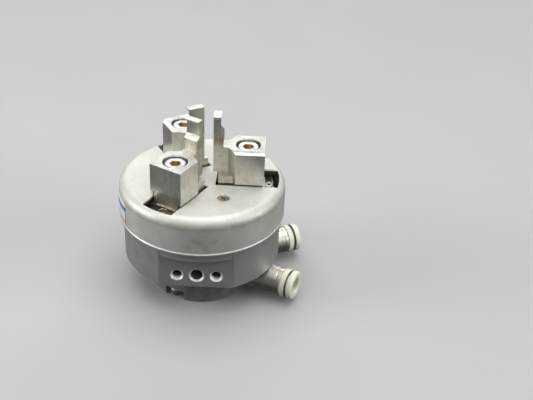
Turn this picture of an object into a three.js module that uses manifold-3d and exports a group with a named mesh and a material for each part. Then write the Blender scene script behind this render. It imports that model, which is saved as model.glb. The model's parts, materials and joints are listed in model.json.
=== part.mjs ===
// Pneumatic gripper: three fingers at 120 degrees, driven outwards together by a double-vane rotor
// and a spiral cam disc. Millimetres, +Z up, Z = 0 at the underside of the round boss, closed at rest.
import * as THREE from "three";
import { mergeVertices } from "three/addons/utils/BufferGeometryUtils.js";
import Module from "manifold-3d";

const wasm = await Module();
wasm.setup();

// ---- driving dimensions -------------------------------------------------------------------------
const SEG_BIG = 48; // facets on the housing cylinders
const SEG_MID = 24; // facets on hub-sized cylinders
const SEG_SMALL = 16; // facets on screws and pins
const TURN = (2 * Math.PI) / 3; // angle between neighbouring fingers
const FINGERS = ["a", "b", "c"]; // a points along +X, b and c follow anticlockwise
const BETWEEN = Math.PI / 3; // the cover screws sit halfway between the fingers
const BASE_TURN = 0.052; // the base screws stand 3 degrees past the fingers

const BOSS = { r: 14.6, top: 8.75, bottomChamfer: 0.3, chamberR: 11, floor: 3.6, boreR: 4.05 };
const PLUG = { r: 5.95, thick: 1.2, seatR: 6, seatTop: 1.25 };
const NOTCH = { from: 10.9, half: 2.95, top: 2.95 }; // opening in the boss rim for each base screw
const BASE_TAP = { r: 1.25, at: 9, depth: 2.6 };
const GASKET = { rIn: 11.1, rOut: 14.5, top: 9.05 };

const BODY = {
  bottom: 9.05, r: 21.5, edge: 0.2, top: 21.9, flangeR: 22.4, flangeBottom: 21.1, chamfer: 0.4,
};
const SPIGOT = { rIn: 19.4, rOut: 20.7, top: 23.6 };
const CAM_POCKET = { r: 15.6, floor: 20.3 };
const BEARING_BORE = { r: 4.65, bottom: 10.2 };
const FLAT = { y: -19.2, top: 18.7 }; // side mounting flat
const SIDE_HOLES = {
  z: 12.65, pitch: 5.2, depth: 5, tapR: 1.25, tapMouthR: 1.75, pinR: 1.6, pinMouthR: 2.05,
};

const COVER = { rIn: 20.8, r: 22.5, bottomEdge: 0.2, plateBottom: 30.1, top: 32, fillet: 2.7 };
const SLOT = { half: 4.455, inner: 3.84, outerR: 20.76 };
const LABEL = { rIn: 22.53, rOut: 22.66, from: -3.33, to: -2.61, bottom: 22.9, top: 29.2 };

const GUIDE = { r: 19.26, boreR: 3, floorBottom: 23.6, floorTop: 25, skirtR: 16.4, top: 30.1 };
const CHANNEL = { half: 4.55, end: 16.7 };
const RAIL = {
  inner: 2.7, outer: 4.5, from: 4.6, to: 16.6, bottom: 25.05, groove: 3.6, grooveZ: [26.9, 28.3],
};

const SHAFT = {
  r: 3, journalR: 2.5, bottom: 1.45, hubR: 5, hub: [3.7, 8.95], squareHalf: 1.9, squareTop: 23.3,
};
const LOWER_BEARING = { r: 4, bush: [1.3, 2.9], seal: [2.95, 3.55] };
const UPPER_BEARING = { r: 4.6, seal: [10.25, 12], bush: [12.05, 20.1] };
const VANE = { angle: Math.PI / 4, half: 0.21, r: 10.4, sealR: 10.93, sealRoot: 9.33, sealHalf: 0.48 };
const STOPPER = { half: 0.26, rIn: 5.15, rOut: 10.95, z: [3.65, 9] };
const CROSS_HOLES = [
  { angle: 0.42, z: 5.2 },
  { angle: 1.15, z: 7.4 },
];
const CROSS_HOLE_R = 0.7;

const STROKE_ANGLE = Math.PI / 2; // rotor travel
const CAM_RISE = 1.9; // outward travel of a finger per radian of rotor travel
const CAM = { r: 15, z: [20.6, 23.4], slotHalf: 1.3, holeHalf: 1.95, overrun: 0.03 };
const PIN = { r: 1.25, at: 8, bottom: 20.8, top: 29.4 };

const FINGER = { from: 4.41, to: 16.47, half: 3.78, bottom: 30.2, top: 34.3 };
const KEEL = { from: 5, to: 13.4, half: 2.6, bottom: 25.1, tongue: 3.5, tongueZ: [27, 28.2] };
const JAW = {
  outer: 16.65, inner: 9, half: 4.86, neck: 6.93, neckHalf: 2.05, tip: 3,
  lipBottom: 32.5, channelHalf: 3.88, top: 42.1, prongFloor: 34.5, prongFloorEnd: 4.6,
  thick: 5.67, shoulder: [45.5, 46.4], thin: 4.77, capBottom: 50.3, capTop: 50.8, capLip: 5,
};
const JAW_SCREW = {
  at: 12.15, headR: 2.75, head: [38.6, 41.6], r: 1.5, tip: 30.6, hexAcross: 2.5, hexDepth: 1.6,
  boreR: 1.65, counterboreR: 3.33,
};
// What differs from jaw to jaw: a bevel on one top edge, a cut outer corner, a wider tip cap.
const JAW_VARIANTS = {
  a: { bevel: [1.3, 0.55], cornerCut: 0, capSide: 0.15 },
  b: { bevel: [0, 0], cornerCut: 1.4, capSide: 0.15 },
  c: { bevel: [0, 0], cornerCut: 0, capSide: 0.85 },
};

const COVER_SCREW = {
  at: 12.7, headR: 1.6, headTop: 31.95, cone: 0.8, r: 0.8, bottom: 26.4,
  crossReach: 0.8, crossHalf: 0.19, crossDepth: 0.5,
};
const GUIDE_SCREW = {
  at: 17.98, headR: 1.1, head: [29.1, 30.05], r: 0.8, tip: 17.2, hexAcross: 0.9, hexDepth: 0.5,
};
// The base screws point upwards, so their heads lie below and their tips above.
const BASE_SCREW = {
  at: 12.96, headR: 1.9, head: [0.95, 2.95], r: 1, tip: 12.9, hexAcross: 1.5, hexDepth: 1,
};
const CAM_SCREW = { headR: 2.3, head: [23.4, 24.7], r: 1, tip: 17.5, hexAcross: 1.5, hexDepth: 0.8 };

const FITTING = {
  angle: 0.419, z: 5.15, spotR: 3.95, seat: 14.05, gasketTop: 14.65, gasketR: 3.3, tip: 11.3, stubR: 2.08,
  boreR: 1.1, barrelR: 3.75, barrelEdge: 0.3, barrelEnd: 25.5, tubeR: 2.05, tubeStop: 16, cavityR: 3,
  cavityFrom: 18.8,
};
const TUBE_SEAL = { rIn: 2, from: 18.85, to: 20.35 };
const COLLET = { rIn: 2.1, from: 20.45, to: 22.6 };
const COLLAR = { sleeve: 22.7, from: 25.55, to: 27.05, rIn: 2.62, r: 3.95 };
const BUTTON = {
  sleeve: 23.2, from: 27.7, to: 29.2, rOut: 2.52, r: 3.95, edge: 0.15, round: 0.4, mouth: 0.3,
};

const CLEAR = 0.05; // around screws in their clearance holes, seals and sleeves
const SNUG = 0.02; // around threads and pressed pins
const PAST = 1; // how far a cut runs past the face it opens

// ---- helpers ------------------------------------------------------------------------------------
function solid(geometry) {
  const bare = geometry.index ? geometry.toNonIndexed() : geometry.clone();
  bare.deleteAttribute("normal");
  bare.deleteAttribute("uv");
  const merged = mergeVertices(bare, 1e-4);
  const index = merged.index.array;
  const kept = [];
  for (let i = 0; i < index.length; i += 3) {
    const [p, q, r] = [index[i], index[i + 1], index[i + 2]];
    if (p !== q && q !== r && r !== p) kept.push(p, q, r);
  }
  const mesh = new wasm.Mesh({
    numProp: 3,
    vertProperties: merged.attributes.position.array,
    triVerts: new Uint32Array(kept),
  });
  return new wasm.Manifold(mesh);
}

// A solid of revolution about Z from [radius, height] points listed anticlockwise.
function turned(points, segments = SEG_MID) {
  const closed = points[0][0] < 1e-9 ? points : [...points, points[0]];
  const profile = closed.map(([r, z]) => new THREE.Vector2(r, z));
  return solid(new THREE.LatheGeometry(profile, segments).rotateX(Math.PI / 2));
}
const rod = (r, z0, z1, segments) => turned([[0, z0], [r, z0], [r, z1], [0, z1]], segments);
const ring = (rIn, rOut, z0, z1, segments) =>
  turned([[rIn, z0], [rOut, z0], [rOut, z1], [rIn, z1]], segments);

// A prism over a plan outline of [x, y] points, between two heights.
function prism(points, z0, z1) {
  const shape = new THREE.Shape(points.map(([x, y]) => new THREE.Vector2(x, y)));
  const flat = new THREE.ExtrudeGeometry(shape, { depth: z1 - z0, bevelEnabled: false });
  return solid(flat.translate(0, 0, z0));
}
const box = (x0, x1, y0, y1, z0, z1) => prism([[x0, y0], [x1, y0], [x1, y1], [x0, y1]], z0, z1);

// A bar along X whose section is a list of [y, z] points.
function bar(points, x0, x1) {
  const shape = new THREE.Shape(points.map(([y, z]) => new THREE.Vector2(y, z)));
  const flat = new THREE.ExtrudeGeometry(shape, { depth: x1 - x0, bevelEnabled: false });
  const basis = new THREE.Matrix4().makeBasis(
    new THREE.Vector3(0, 1, 0), new THREE.Vector3(0, 0, 1), new THREE.Vector3(1, 0, 0));
  return solid(flat.applyMatrix4(basis).translate(x0, 0, 0));
}
// A bar along Y whose section is a list of [x, z] points.
function sideBar(points, y0, y1) {
  return bar(points.map(([x, z]) => [-x, z]), y0, y1).rotate([0, 0, 90]);
}

const arc = (r, from, to, steps) =>
  Array.from({ length: steps + 1 }, (_, i) => {
    const t = from + ((to - from) * i) / steps;
    return [r * Math.cos(t), r * Math.sin(t)];
  });
const sector = (rIn, rOut, from, to, z0, z1, steps) =>
  prism([...arc(rOut, from, to, steps), ...arc(rIn, to, from, steps)], z0, z1);
const hexagon = (across) => arc(across / Math.sqrt(3), 0, (5 / 3) * Math.PI, 5);
const degrees = (radians) => (radians * 180) / Math.PI;
const spun = (part, angle) => part.rotate([0, 0, degrees(angle)]);
const alongX = (part) => part.rotate([0, 90, 0]); // lays a Z-turned part down along +X
const threeTimes = (part, offset = 0) => [0, 1, 2].map((i) => spun(part, offset + i * TURN));
const without = (part, cuts) => cuts.reduce((left, cut) => left.subtract(cut), part);
const joined = (parts) => parts.reduce((sum, part) => sum.add(part));

const FINISHES = {
  coverAluminium: [0xdedcd4, 0.6, 0.35],
  bodyAluminium: [0x8d8e8c, 0.5, 0.5],
  steel: [0xa9a69d, 0.3, 0.85],
  darkSteel: [0x5f5d58, 0.4, 0.8],
  nickel: [0xd8d4c8, 0.18, 0.95],
  brightScrew: [0xdddcd8, 0.15, 0.95],
  bronze: [0xa77b3f, 0.4, 0.8],
  creamPlastic: [0xe3e6cf, 0.45, 0],
  rubber: [0x1c1c1c, 0.85, 0],
  labelFilm: [0xbfd3e6, 0.5, 0],
};

const gripper = new THREE.Group();
gripper.name = "pneumatic_gripper";

function place(name, part, finish, angle = 0, height = 0) {
  const { vertProperties, triVerts, numProp } = part.getMesh();
  const positions = new Float32Array((vertProperties.length / numProp) * 3);
  for (let i = 0; i < positions.length / 3; i++)
    positions.set(vertProperties.subarray(i * numProp, i * numProp + 3), i * 3);
  const geometry = new THREE.BufferGeometry()
    .setAttribute("position", new THREE.BufferAttribute(positions, 3))
    .setIndex(new THREE.BufferAttribute(new Uint32Array(triVerts), 1));
  const flat = geometry.toNonIndexed();
  flat.computeVertexNormals();
  const [color, roughness, metalness] = FINISHES[finish];
  const mesh = new THREE.Mesh(flat, new THREE.MeshStandardMaterial({ color, roughness, metalness }));
  mesh.name = name;
  mesh.rotation.z = angle;
  mesh.position.z = height;
  gripper.add(mesh);
}

// ---- boss: vane chamber, base screws, bottom plug ------------------------------------------------
const bossProfile = [
  [PLUG.seatR, 0], [BOSS.r - BOSS.bottomChamfer, 0], [BOSS.r, BOSS.bottomChamfer], [BOSS.r, BOSS.top],
  [BOSS.chamberR, BOSS.top], [BOSS.chamberR, BOSS.floor], [BOSS.boreR, BOSS.floor],
  [BOSS.boreR, PLUG.seatTop], [PLUG.seatR, PLUG.seatTop],
];
const notch = box(NOTCH.from, BOSS.r + PAST, -NOTCH.half, NOTCH.half, -PAST, NOTCH.top);
const baseScrewHole = rod(BASE_SCREW.r + CLEAR, NOTCH.top - PAST, GASKET.top + PAST, SEG_SMALL)
  .translate([BASE_SCREW.at, 0, 0]);
const baseTap = rod(BASE_TAP.r, -PAST, BASE_TAP.depth, SEG_SMALL).translate([BASE_TAP.at, 0, 0]);
const fittingAngles = [-FITTING.angle, FITTING.angle];
const portCuts = fittingAngles.flatMap((angle) => {
  const spotFace = alongX(rod(FITTING.spotR, FITTING.seat, BOSS.r + PAST, SEG_MID));
  const tapping = alongX(rod(FITTING.stubR + CLEAR, BOSS.chamberR - PAST, BOSS.r, SEG_SMALL));
  return [spotFace, tapping].map((cut) => spun(cut.translate([0, 0, FITTING.z]), angle));
});
place("boss", without(turned(bossProfile, SEG_BIG), [
  ...threeTimes(notch, BASE_TURN), ...threeTimes(baseScrewHole, BASE_TURN), ...threeTimes(baseTap, BETWEEN),
  ...portCuts,
]), "bodyAluminium");
place("boss_plug", rod(PLUG.r, 0, PLUG.thick, SEG_MID), "bodyAluminium");
place("chamber_gasket", without(ring(GASKET.rIn, GASKET.rOut, BOSS.top, GASKET.top, SEG_BIG),
  threeTimes(baseScrewHole, BASE_TURN)), "rubber");

// A socket cap screw on its own axis with the head up.
function socketScrew({ headR, head: [headLow, headHigh], r, tip, hexAcross, hexDepth }) {
  const edge = 0.1 * headR;
  const blank = turned([[0, tip], [r, tip], [r, headLow], [headR, headLow], [headR, headHigh - edge],
    [headR - edge, headHigh], [0, headHigh]], SEG_SMALL);
  return blank.subtract(prism(hexagon(hexAcross), headHigh - hexDepth, headHigh + PAST));
}
const upsideDown = ({ head: [low, high], tip, ...sizes }) => ({ ...sizes, head: [-high, -low], tip: -tip });
const baseScrew = socketScrew(upsideDown(BASE_SCREW)).rotate([180, 0, 0]).translate([BASE_SCREW.at, 0, 0]);
FINGERS.forEach((id, i) => place(`base_screw_${id}`, baseScrew, "brightScrew", BASE_TURN + i * TURN));

// ---- body ----------------------------------------------------------------------------------------
const bodyProfile = [
  [SHAFT.r + 2 * CLEAR, BODY.bottom], [BODY.r - BODY.edge, BODY.bottom], [BODY.r, BODY.bottom + BODY.edge],
  [BODY.r, BODY.flangeBottom], [BODY.flangeR, BODY.flangeBottom], [BODY.flangeR, BODY.top - BODY.chamfer],
  [BODY.flangeR - BODY.chamfer, BODY.top], [SPIGOT.rOut, BODY.top], [SPIGOT.rOut, SPIGOT.top],
  [SPIGOT.rIn, SPIGOT.top], [SPIGOT.rIn, BODY.top], [CAM_POCKET.r, BODY.top],
  [CAM_POCKET.r, CAM_POCKET.floor], [BEARING_BORE.r, CAM_POCKET.floor],
  [BEARING_BORE.r, BEARING_BORE.bottom], [SHAFT.r + 2 * CLEAR, BEARING_BORE.bottom],
];
const sideHole = (x, r, mouthR) =>
  turned([
    [0, -SIDE_HOLES.depth], [r, -SIDE_HOLES.depth], [r, r - mouthR], [mouthR, 0], [mouthR, PAST], [0, PAST],
  ], SEG_SMALL).rotate([90, 0, 0]).translate([x, FLAT.y, SIDE_HOLES.z]);
const threadHole = (screw, from, to) => rod(screw.r + SNUG, from, to, SEG_SMALL).translate([screw.at, 0, 0]);
const TAP_SPARE = 0.3; // a blind tapping goes this much deeper than its screw
place("body", without(turned(bodyProfile, SEG_BIG), [
  box(-BODY.r, BODY.r, -BODY.r - PAST, FLAT.y, BODY.bottom - PAST, FLAT.top),
  sideHole(-SIDE_HOLES.pitch, SIDE_HOLES.tapR, SIDE_HOLES.tapMouthR),
  sideHole(0, SIDE_HOLES.pinR, SIDE_HOLES.pinMouthR),
  sideHole(SIDE_HOLES.pitch, SIDE_HOLES.tapR, SIDE_HOLES.tapMouthR),
  ...threeTimes(threadHole(BASE_SCREW, BODY.bottom - PAST, BASE_SCREW.tip + TAP_SPARE), BASE_TURN),
  ...threeTimes(threadHole(GUIDE_SCREW, GUIDE_SCREW.tip - TAP_SPARE, BODY.top + PAST)),
]), "bodyAluminium");

// ---- rotor, vanes, cam ---------------------------------------------------------------------------
const [hubLow, hubHigh] = SHAFT.hub;
const vane = spun(sector(SHAFT.hubR - PAST, VANE.r, -VANE.half, VANE.half, hubLow, hubHigh, 5), VANE.angle);
const sealSlotHalf = VANE.sealHalf + SNUG;
const sealSlot = spun(box(VANE.sealRoot - SNUG, VANE.sealR + PAST, -sealSlotHalf, sealSlotHalf,
  hubLow - PAST, hubHigh + PAST), VANE.angle);
const crossHole = alongX(rod(CROSS_HOLE_R, -SHAFT.hubR - PAST, SHAFT.hubR + PAST, SEG_SMALL));
const crossHoles = CROSS_HOLES.map(({ angle, z }) => spun(crossHole.translate([0, 0, z]), angle));
const shaft = turned([[0, SHAFT.bottom], [SHAFT.journalR, SHAFT.bottom], [SHAFT.journalR, hubLow],
  [SHAFT.hubR, hubLow], [SHAFT.hubR, hubHigh], [SHAFT.r, hubHigh], [SHAFT.r, CAM.z[0]], [0, CAM.z[0]]]);
const square = (half, z0, z1) => box(-half, half, -half, half, z0, z1);
const halfTurn = (part) => [part, spun(part, Math.PI)];
place("vane_rotor", without(
  joined([shaft, square(SHAFT.squareHalf, CAM.z[0] - PAST, SHAFT.squareTop), ...halfTurn(vane)]),
  [...halfTurn(sealSlot), ...crossHoles,
    rod(CAM_SCREW.r + SNUG, CAM_SCREW.tip - TAP_SPARE, SHAFT.squareTop + PAST, SEG_SMALL)],
), "steel");
const vaneSeal = box(VANE.sealRoot, VANE.sealR, -VANE.sealHalf, VANE.sealHalf, hubLow, hubHigh);
place("vane_seal_a", vaneSeal, "rubber", VANE.angle);
place("vane_seal_b", vaneSeal, "rubber", VANE.angle + Math.PI);
const stopper = sector(STOPPER.rIn, STOPPER.rOut, -STOPPER.half, STOPPER.half, ...STOPPER.z, 6);
place("stopper_a", stopper, "bodyAluminium");
place("stopper_b", stopper, "bodyAluminium", Math.PI);
place("lower_bush", ring(SHAFT.journalR + CLEAR, LOWER_BEARING.r, ...LOWER_BEARING.bush), "bronze");
place("lower_shaft_seal", ring(SHAFT.journalR + CLEAR, LOWER_BEARING.r, ...LOWER_BEARING.seal), "rubber");
place("upper_shaft_seal", ring(SHAFT.r + CLEAR, UPPER_BEARING.r, ...UPPER_BEARING.seal), "rubber");
place("upper_bush", ring(SHAFT.r + CLEAR, UPPER_BEARING.r, ...UPPER_BEARING.bush), "bronze");

// Each cam slot is a spiral whose radius grows evenly with angle, so equal turns give equal strokes.
function spiralSlot() {
  const steps = 18;
  const through = [CAM.z[0] - PAST, CAM.z[1] + PAST];
  const first = -CAM.overrun;
  const last = STROKE_ANGLE + CAM.overrun;
  const origin = new THREE.Vector2();
  const left = [];
  const right = [];
  for (let i = 0; i <= steps; i++) {
    const turnAngle = first + ((last - first) * i) / steps;
    const r = PIN.at + CAM_RISE * turnAngle;
    const centre = new THREE.Vector2(r, 0).rotateAround(origin, -turnAngle);
    const tangent = new THREE.Vector2(CAM_RISE, -r).rotateAround(origin, -turnAngle).normalize();
    const side = new THREE.Vector2(-tangent.y, tangent.x).multiplyScalar(CAM.slotHalf);
    left.push([centre.x + side.x, centre.y + side.y]);
    right.push([centre.x - side.x, centre.y - side.y]);
  }
  const round = rod(CAM.slotHalf, ...through, SEG_SMALL);
  const end = (turnAngle) => spun(round.translate([PIN.at + CAM_RISE * turnAngle, 0, 0]), -turnAngle);
  return joined([prism([...left, ...right.reverse()], ...through), end(first), end(last)]);
}
place("cam_disc", without(rod(CAM.r, ...CAM.z, SEG_BIG), [
  ...threeTimes(spiralSlot()), square(CAM.holeHalf, CAM.z[0] - PAST, CAM.z[1] + PAST),
]), "darkSteel");
place("cam_screw", socketScrew(CAM_SCREW), "brightScrew");

// ---- guide plate and rails -----------------------------------------------------------------------
const guideProfile = [
  [GUIDE.boreR, GUIDE.floorBottom], [GUIDE.skirtR, GUIDE.floorBottom], [GUIDE.skirtR, BODY.top],
  [GUIDE.r, BODY.top], [GUIDE.r, GUIDE.top], [GUIDE.boreR, GUIDE.top],
];
const channel = box(0, CHANNEL.end, -CHANNEL.half, CHANNEL.half, GUIDE.floorTop, GUIDE.top + PAST);
const pinSlotHalf = PIN.r + 2 * CLEAR;
const pinReach = PIN.at + CAM_RISE * STROKE_ANGLE;
const throughFloor = [GUIDE.floorBottom - PAST, GUIDE.floorTop + PAST];
const pinSlot = joined([
  box(PIN.at, pinReach, -pinSlotHalf, pinSlotHalf, ...throughFloor),
  ...[PIN.at, pinReach].map((x) => rod(pinSlotHalf, ...throughFloor, SEG_SMALL).translate([x, 0, 0])),
]);
const guideScrewHole = joined([
  rod(GUIDE_SCREW.r + CLEAR, BODY.top - PAST, GUIDE.top, SEG_SMALL),
  rod(GUIDE_SCREW.headR + CLEAR, GUIDE_SCREW.head[0], GUIDE.top + PAST, SEG_SMALL),
]).translate([GUIDE_SCREW.at, 0, 0]);
const coverTap = threadHole(COVER_SCREW, COVER_SCREW.bottom - TAP_SPARE, GUIDE.top + PAST);
place("guide_plate", without(turned(guideProfile, SEG_BIG), [
  ...threeTimes(channel), ...threeTimes(pinSlot), ...threeTimes(guideScrewHole),
  ...threeTimes(coverTap, BETWEEN),
]), "steel");
const railSection = [
  [RAIL.inner, RAIL.bottom], [RAIL.outer, RAIL.bottom], [RAIL.outer, GUIDE.top], [RAIL.inner, GUIDE.top],
  [RAIL.inner, RAIL.grooveZ[1]], [RAIL.groove, RAIL.grooveZ[1]], [RAIL.groove, RAIL.grooveZ[0]],
  [RAIL.inner, RAIL.grooveZ[0]],
];
const leftRail = bar(railSection, RAIL.from, RAIL.to);
const rightRail = bar(railSection.map(([y, z]) => [-y, z]).reverse(), RAIL.from, RAIL.to);
const guideScrew = socketScrew(GUIDE_SCREW).translate([GUIDE_SCREW.at, 0, 0]);
FINGERS.forEach((id, i) => {
  place(`rail_${id}_left`, leftRail, "darkSteel", i * TURN);
  place(`rail_${id}_right`, rightRail, "darkSteel", i * TURN);
  place(`guide_screw_${id}`, guideScrew, "brightScrew", i * TURN);
});

// ---- cover, its screws, label ---------------------------------------------------------------------
const filletX = COVER.r - COVER.fillet;
const filletZ = COVER.top - COVER.fillet;
const filletPoints = arc(COVER.fillet, 0, Math.PI / 2, 6).map(([x, y]) => [filletX + x, filletZ + y]);
const coverProfile = [
  [0, COVER.plateBottom], [COVER.rIn, COVER.plateBottom], [COVER.rIn, BODY.top],
  [COVER.r - COVER.bottomEdge, BODY.top], [COVER.r, BODY.top + COVER.bottomEdge], ...filletPoints,
  [0, COVER.top],
];
const slotReach = Math.asin(SLOT.half / SLOT.outerR);
const slotOutline = [
  [SLOT.inner, -SLOT.half], ...arc(SLOT.outerR, -slotReach, slotReach, 8), [SLOT.inner, SLOT.half],
];
const slot = prism(slotOutline, COVER.plateBottom - PAST, COVER.top + PAST);
// The countersunk screw's outline between two heights, grown all round by extra.
const screwCone = (extra, from, to) => turned([
  [0, from], [COVER_SCREW.r + extra, from],
  [COVER_SCREW.r + extra, COVER_SCREW.headTop - COVER_SCREW.cone],
  [COVER_SCREW.headR + extra, COVER_SCREW.headTop],
  ...(to > COVER_SCREW.headTop ? [[COVER_SCREW.headR + extra, to], [0, to]] : [[0, to]]),
], SEG_SMALL);
const countersink = screwCone(CLEAR, COVER_SCREW.bottom, COVER.top + PAST).translate([COVER_SCREW.at, 0, 0]);
place("cover", without(turned(coverProfile, SEG_BIG), [
  ...threeTimes(slot), ...threeTimes(countersink, BETWEEN),
]), "coverAluminium");
const { crossReach, crossHalf, crossDepth, headTop: screwTop } = COVER_SCREW;
const crossBar = box(-crossReach, crossReach, -crossHalf, crossHalf, screwTop - crossDepth, screwTop + PAST);
const coverScrew = without(screwCone(0, COVER_SCREW.bottom, screwTop), [crossBar, spun(crossBar, Math.PI / 2)])
  .translate([COVER_SCREW.at, 0, 0]);
FINGERS.forEach((id, i) => place(`cover_screw_${id}`, coverScrew, "brightScrew", BETWEEN + i * TURN));
const label = sector(LABEL.rIn, LABEL.rOut, LABEL.from, LABEL.to, LABEL.bottom, LABEL.top, 12);
place("label", label, "labelFilm");

// ---- fingers, drive pins, jaws ---------------------------------------------------------------------
const mirrored = (half) => [...half, ...half.map(([y, z]) => [-y, z]).reverse()];
const keelSection = mirrored([
  [KEEL.half, KEEL.bottom], [KEEL.half, KEEL.tongueZ[0]], [KEEL.tongue, KEEL.tongueZ[0]],
  [KEEL.tongue, KEEL.tongueZ[1]], [KEEL.half, KEEL.tongueZ[1]], [KEEL.half, FINGER.bottom + PAST],
]);
const finger = without(
  joined([bar(keelSection, KEEL.from, KEEL.to),
    box(FINGER.from, FINGER.to, -FINGER.half, FINGER.half, FINGER.bottom, FINGER.top)]),
  [threadHole(JAW_SCREW, JAW_SCREW.tip - SNUG, FINGER.top + PAST),
    threadHole(PIN, KEEL.bottom - PAST, PIN.top + CLEAR)]);
const drivePin = rod(PIN.r, PIN.bottom, PIN.top, SEG_SMALL).translate([PIN.at, 0, 0]);

function jaw({ bevel, cornerCut, capSide }) {
  const plan = [
    [JAW.tip, -JAW.neckHalf], [JAW.neck, -JAW.neckHalf], [JAW.inner, -JAW.half], [JAW.outer, -JAW.half],
    [JAW.outer, JAW.half - cornerCut], ...(cornerCut ? [[JAW.outer - cornerCut, JAW.half]] : []),
    [JAW.inner, JAW.half], [JAW.neck, JAW.neckHalf], [JAW.tip, JAW.neckHalf],
  ];
  const prong = sideBar([
    [JAW.tip, JAW.top - PAST], [JAW.thick, JAW.top - PAST], [JAW.thick, JAW.shoulder[0]],
    [JAW.thin, JAW.shoulder[1]], [JAW.thin, JAW.capTop], [JAW.tip, JAW.capTop],
  ], -JAW.neckHalf, JAW.neckHalf);
  const cap = box(JAW.tip, JAW.capLip, -JAW.neckHalf - capSide, JAW.neckHalf, JAW.capBottom, JAW.capTop);
  const cuts = [
    box(0, JAW.outer + PAST, -JAW.channelHalf, JAW.channelHalf, JAW.lipBottom - PAST, FINGER.top),
    box(0, JAW.prongFloorEnd, -JAW.half, JAW.half, JAW.lipBottom - PAST, JAW.prongFloor),
    rod(JAW_SCREW.boreR, FINGER.top - PAST, JAW.top, SEG_SMALL).translate([JAW_SCREW.at, 0, 0]),
    rod(JAW_SCREW.counterboreR, JAW_SCREW.head[0], JAW.top + PAST, SEG_MID).translate([JAW_SCREW.at, 0, 0]),
  ];
  const [bevelIn, bevelDown] = bevel;
  const edgeY = bevelIn - JAW.half;
  if (bevelIn > 0)
    cuts.push(bar([
      [edgeY, JAW.top + PAST], [edgeY, JAW.top], [-JAW.half, JAW.top - bevelDown],
      [-JAW.half - PAST, JAW.top - bevelDown], [-JAW.half - PAST, JAW.top + PAST],
    ], JAW.neck, JAW.outer + PAST));
  return without(joined([prism(plan, JAW.lipBottom, JAW.top), prong, cap]), cuts);
}
const jawScrew = socketScrew(JAW_SCREW).translate([JAW_SCREW.at, 0, 0]);
FINGERS.forEach((id, i) => {
  place(`finger_${id}`, finger, "steel", i * TURN);
  place(`drive_pin_${id}`, drivePin, "darkSteel", i * TURN);
  place(`jaw_${id}`, jaw(JAW_VARIANTS[id]), "steel", i * TURN);
  place(`jaw_screw_${id}`, jawScrew, "brightScrew", i * TURN);
});

// ---- push-in fittings --------------------------------------------------------------------------------
const barrel = alongX(turned([
  [FITTING.boreR, FITTING.tip], [FITTING.stubR, FITTING.tip], [FITTING.stubR, FITTING.gasketTop],
  [FITTING.barrelR - FITTING.barrelEdge, FITTING.gasketTop],
  [FITTING.barrelR, FITTING.gasketTop + FITTING.barrelEdge], [FITTING.barrelR, FITTING.barrelEnd],
  [FITTING.cavityR, FITTING.barrelEnd], [FITTING.cavityR, FITTING.cavityFrom],
  [FITTING.tubeR, FITTING.cavityFrom], [FITTING.tubeR, FITTING.tubeStop], [FITTING.boreR, FITTING.tubeStop],
]));
const portGasket = alongX(
  ring(FITTING.stubR + CLEAR, FITTING.gasketR, FITTING.seat + SNUG, FITTING.gasketTop - SNUG, SEG_MID));
const sleeveR = FITTING.cavityR - CLEAR;
const tubeSeal = alongX(ring(TUBE_SEAL.rIn, sleeveR, TUBE_SEAL.from, TUBE_SEAL.to, SEG_MID));
const collet = alongX(ring(COLLET.rIn, sleeveR - CLEAR, COLLET.from, COLLET.to, SEG_MID));
const collar = alongX(turned([
  [COLLAR.rIn, COLLAR.sleeve], [sleeveR, COLLAR.sleeve], [sleeveR, COLLAR.from],
  [COLLAR.r, COLLAR.from], [COLLAR.r, COLLAR.to], [COLLAR.rIn, COLLAR.to],
]));
const button = alongX(turned([
  [FITTING.tubeR, BUTTON.sleeve], [BUTTON.rOut, BUTTON.sleeve], [BUTTON.rOut, BUTTON.from],
  [BUTTON.r - BUTTON.edge, BUTTON.from], [BUTTON.r, BUTTON.from + BUTTON.edge],
  [BUTTON.r, BUTTON.to - BUTTON.round], [BUTTON.r - BUTTON.round, BUTTON.to],
  [FITTING.tubeR + BUTTON.mouth, BUTTON.to], [FITTING.tubeR, BUTTON.to - BUTTON.mouth],
]));
const fittingPieces = [
  ["fitting_body", barrel, "nickel"],
  ["port_gasket", portGasket, "rubber"],
  ["tube_seal", tubeSeal, "rubber"],
  ["collet", collet, "steel"],
  ["fitting_collar", collar, "creamPlastic"],
  ["release_button", button, "creamPlastic"],
];
["front", "back"].forEach((side, i) => {
  for (const [name, part, finish] of fittingPieces)
    place(`${name}_${side}`, part, finish, fittingAngles[i], FITTING.z);
});

export default gripper;
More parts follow.
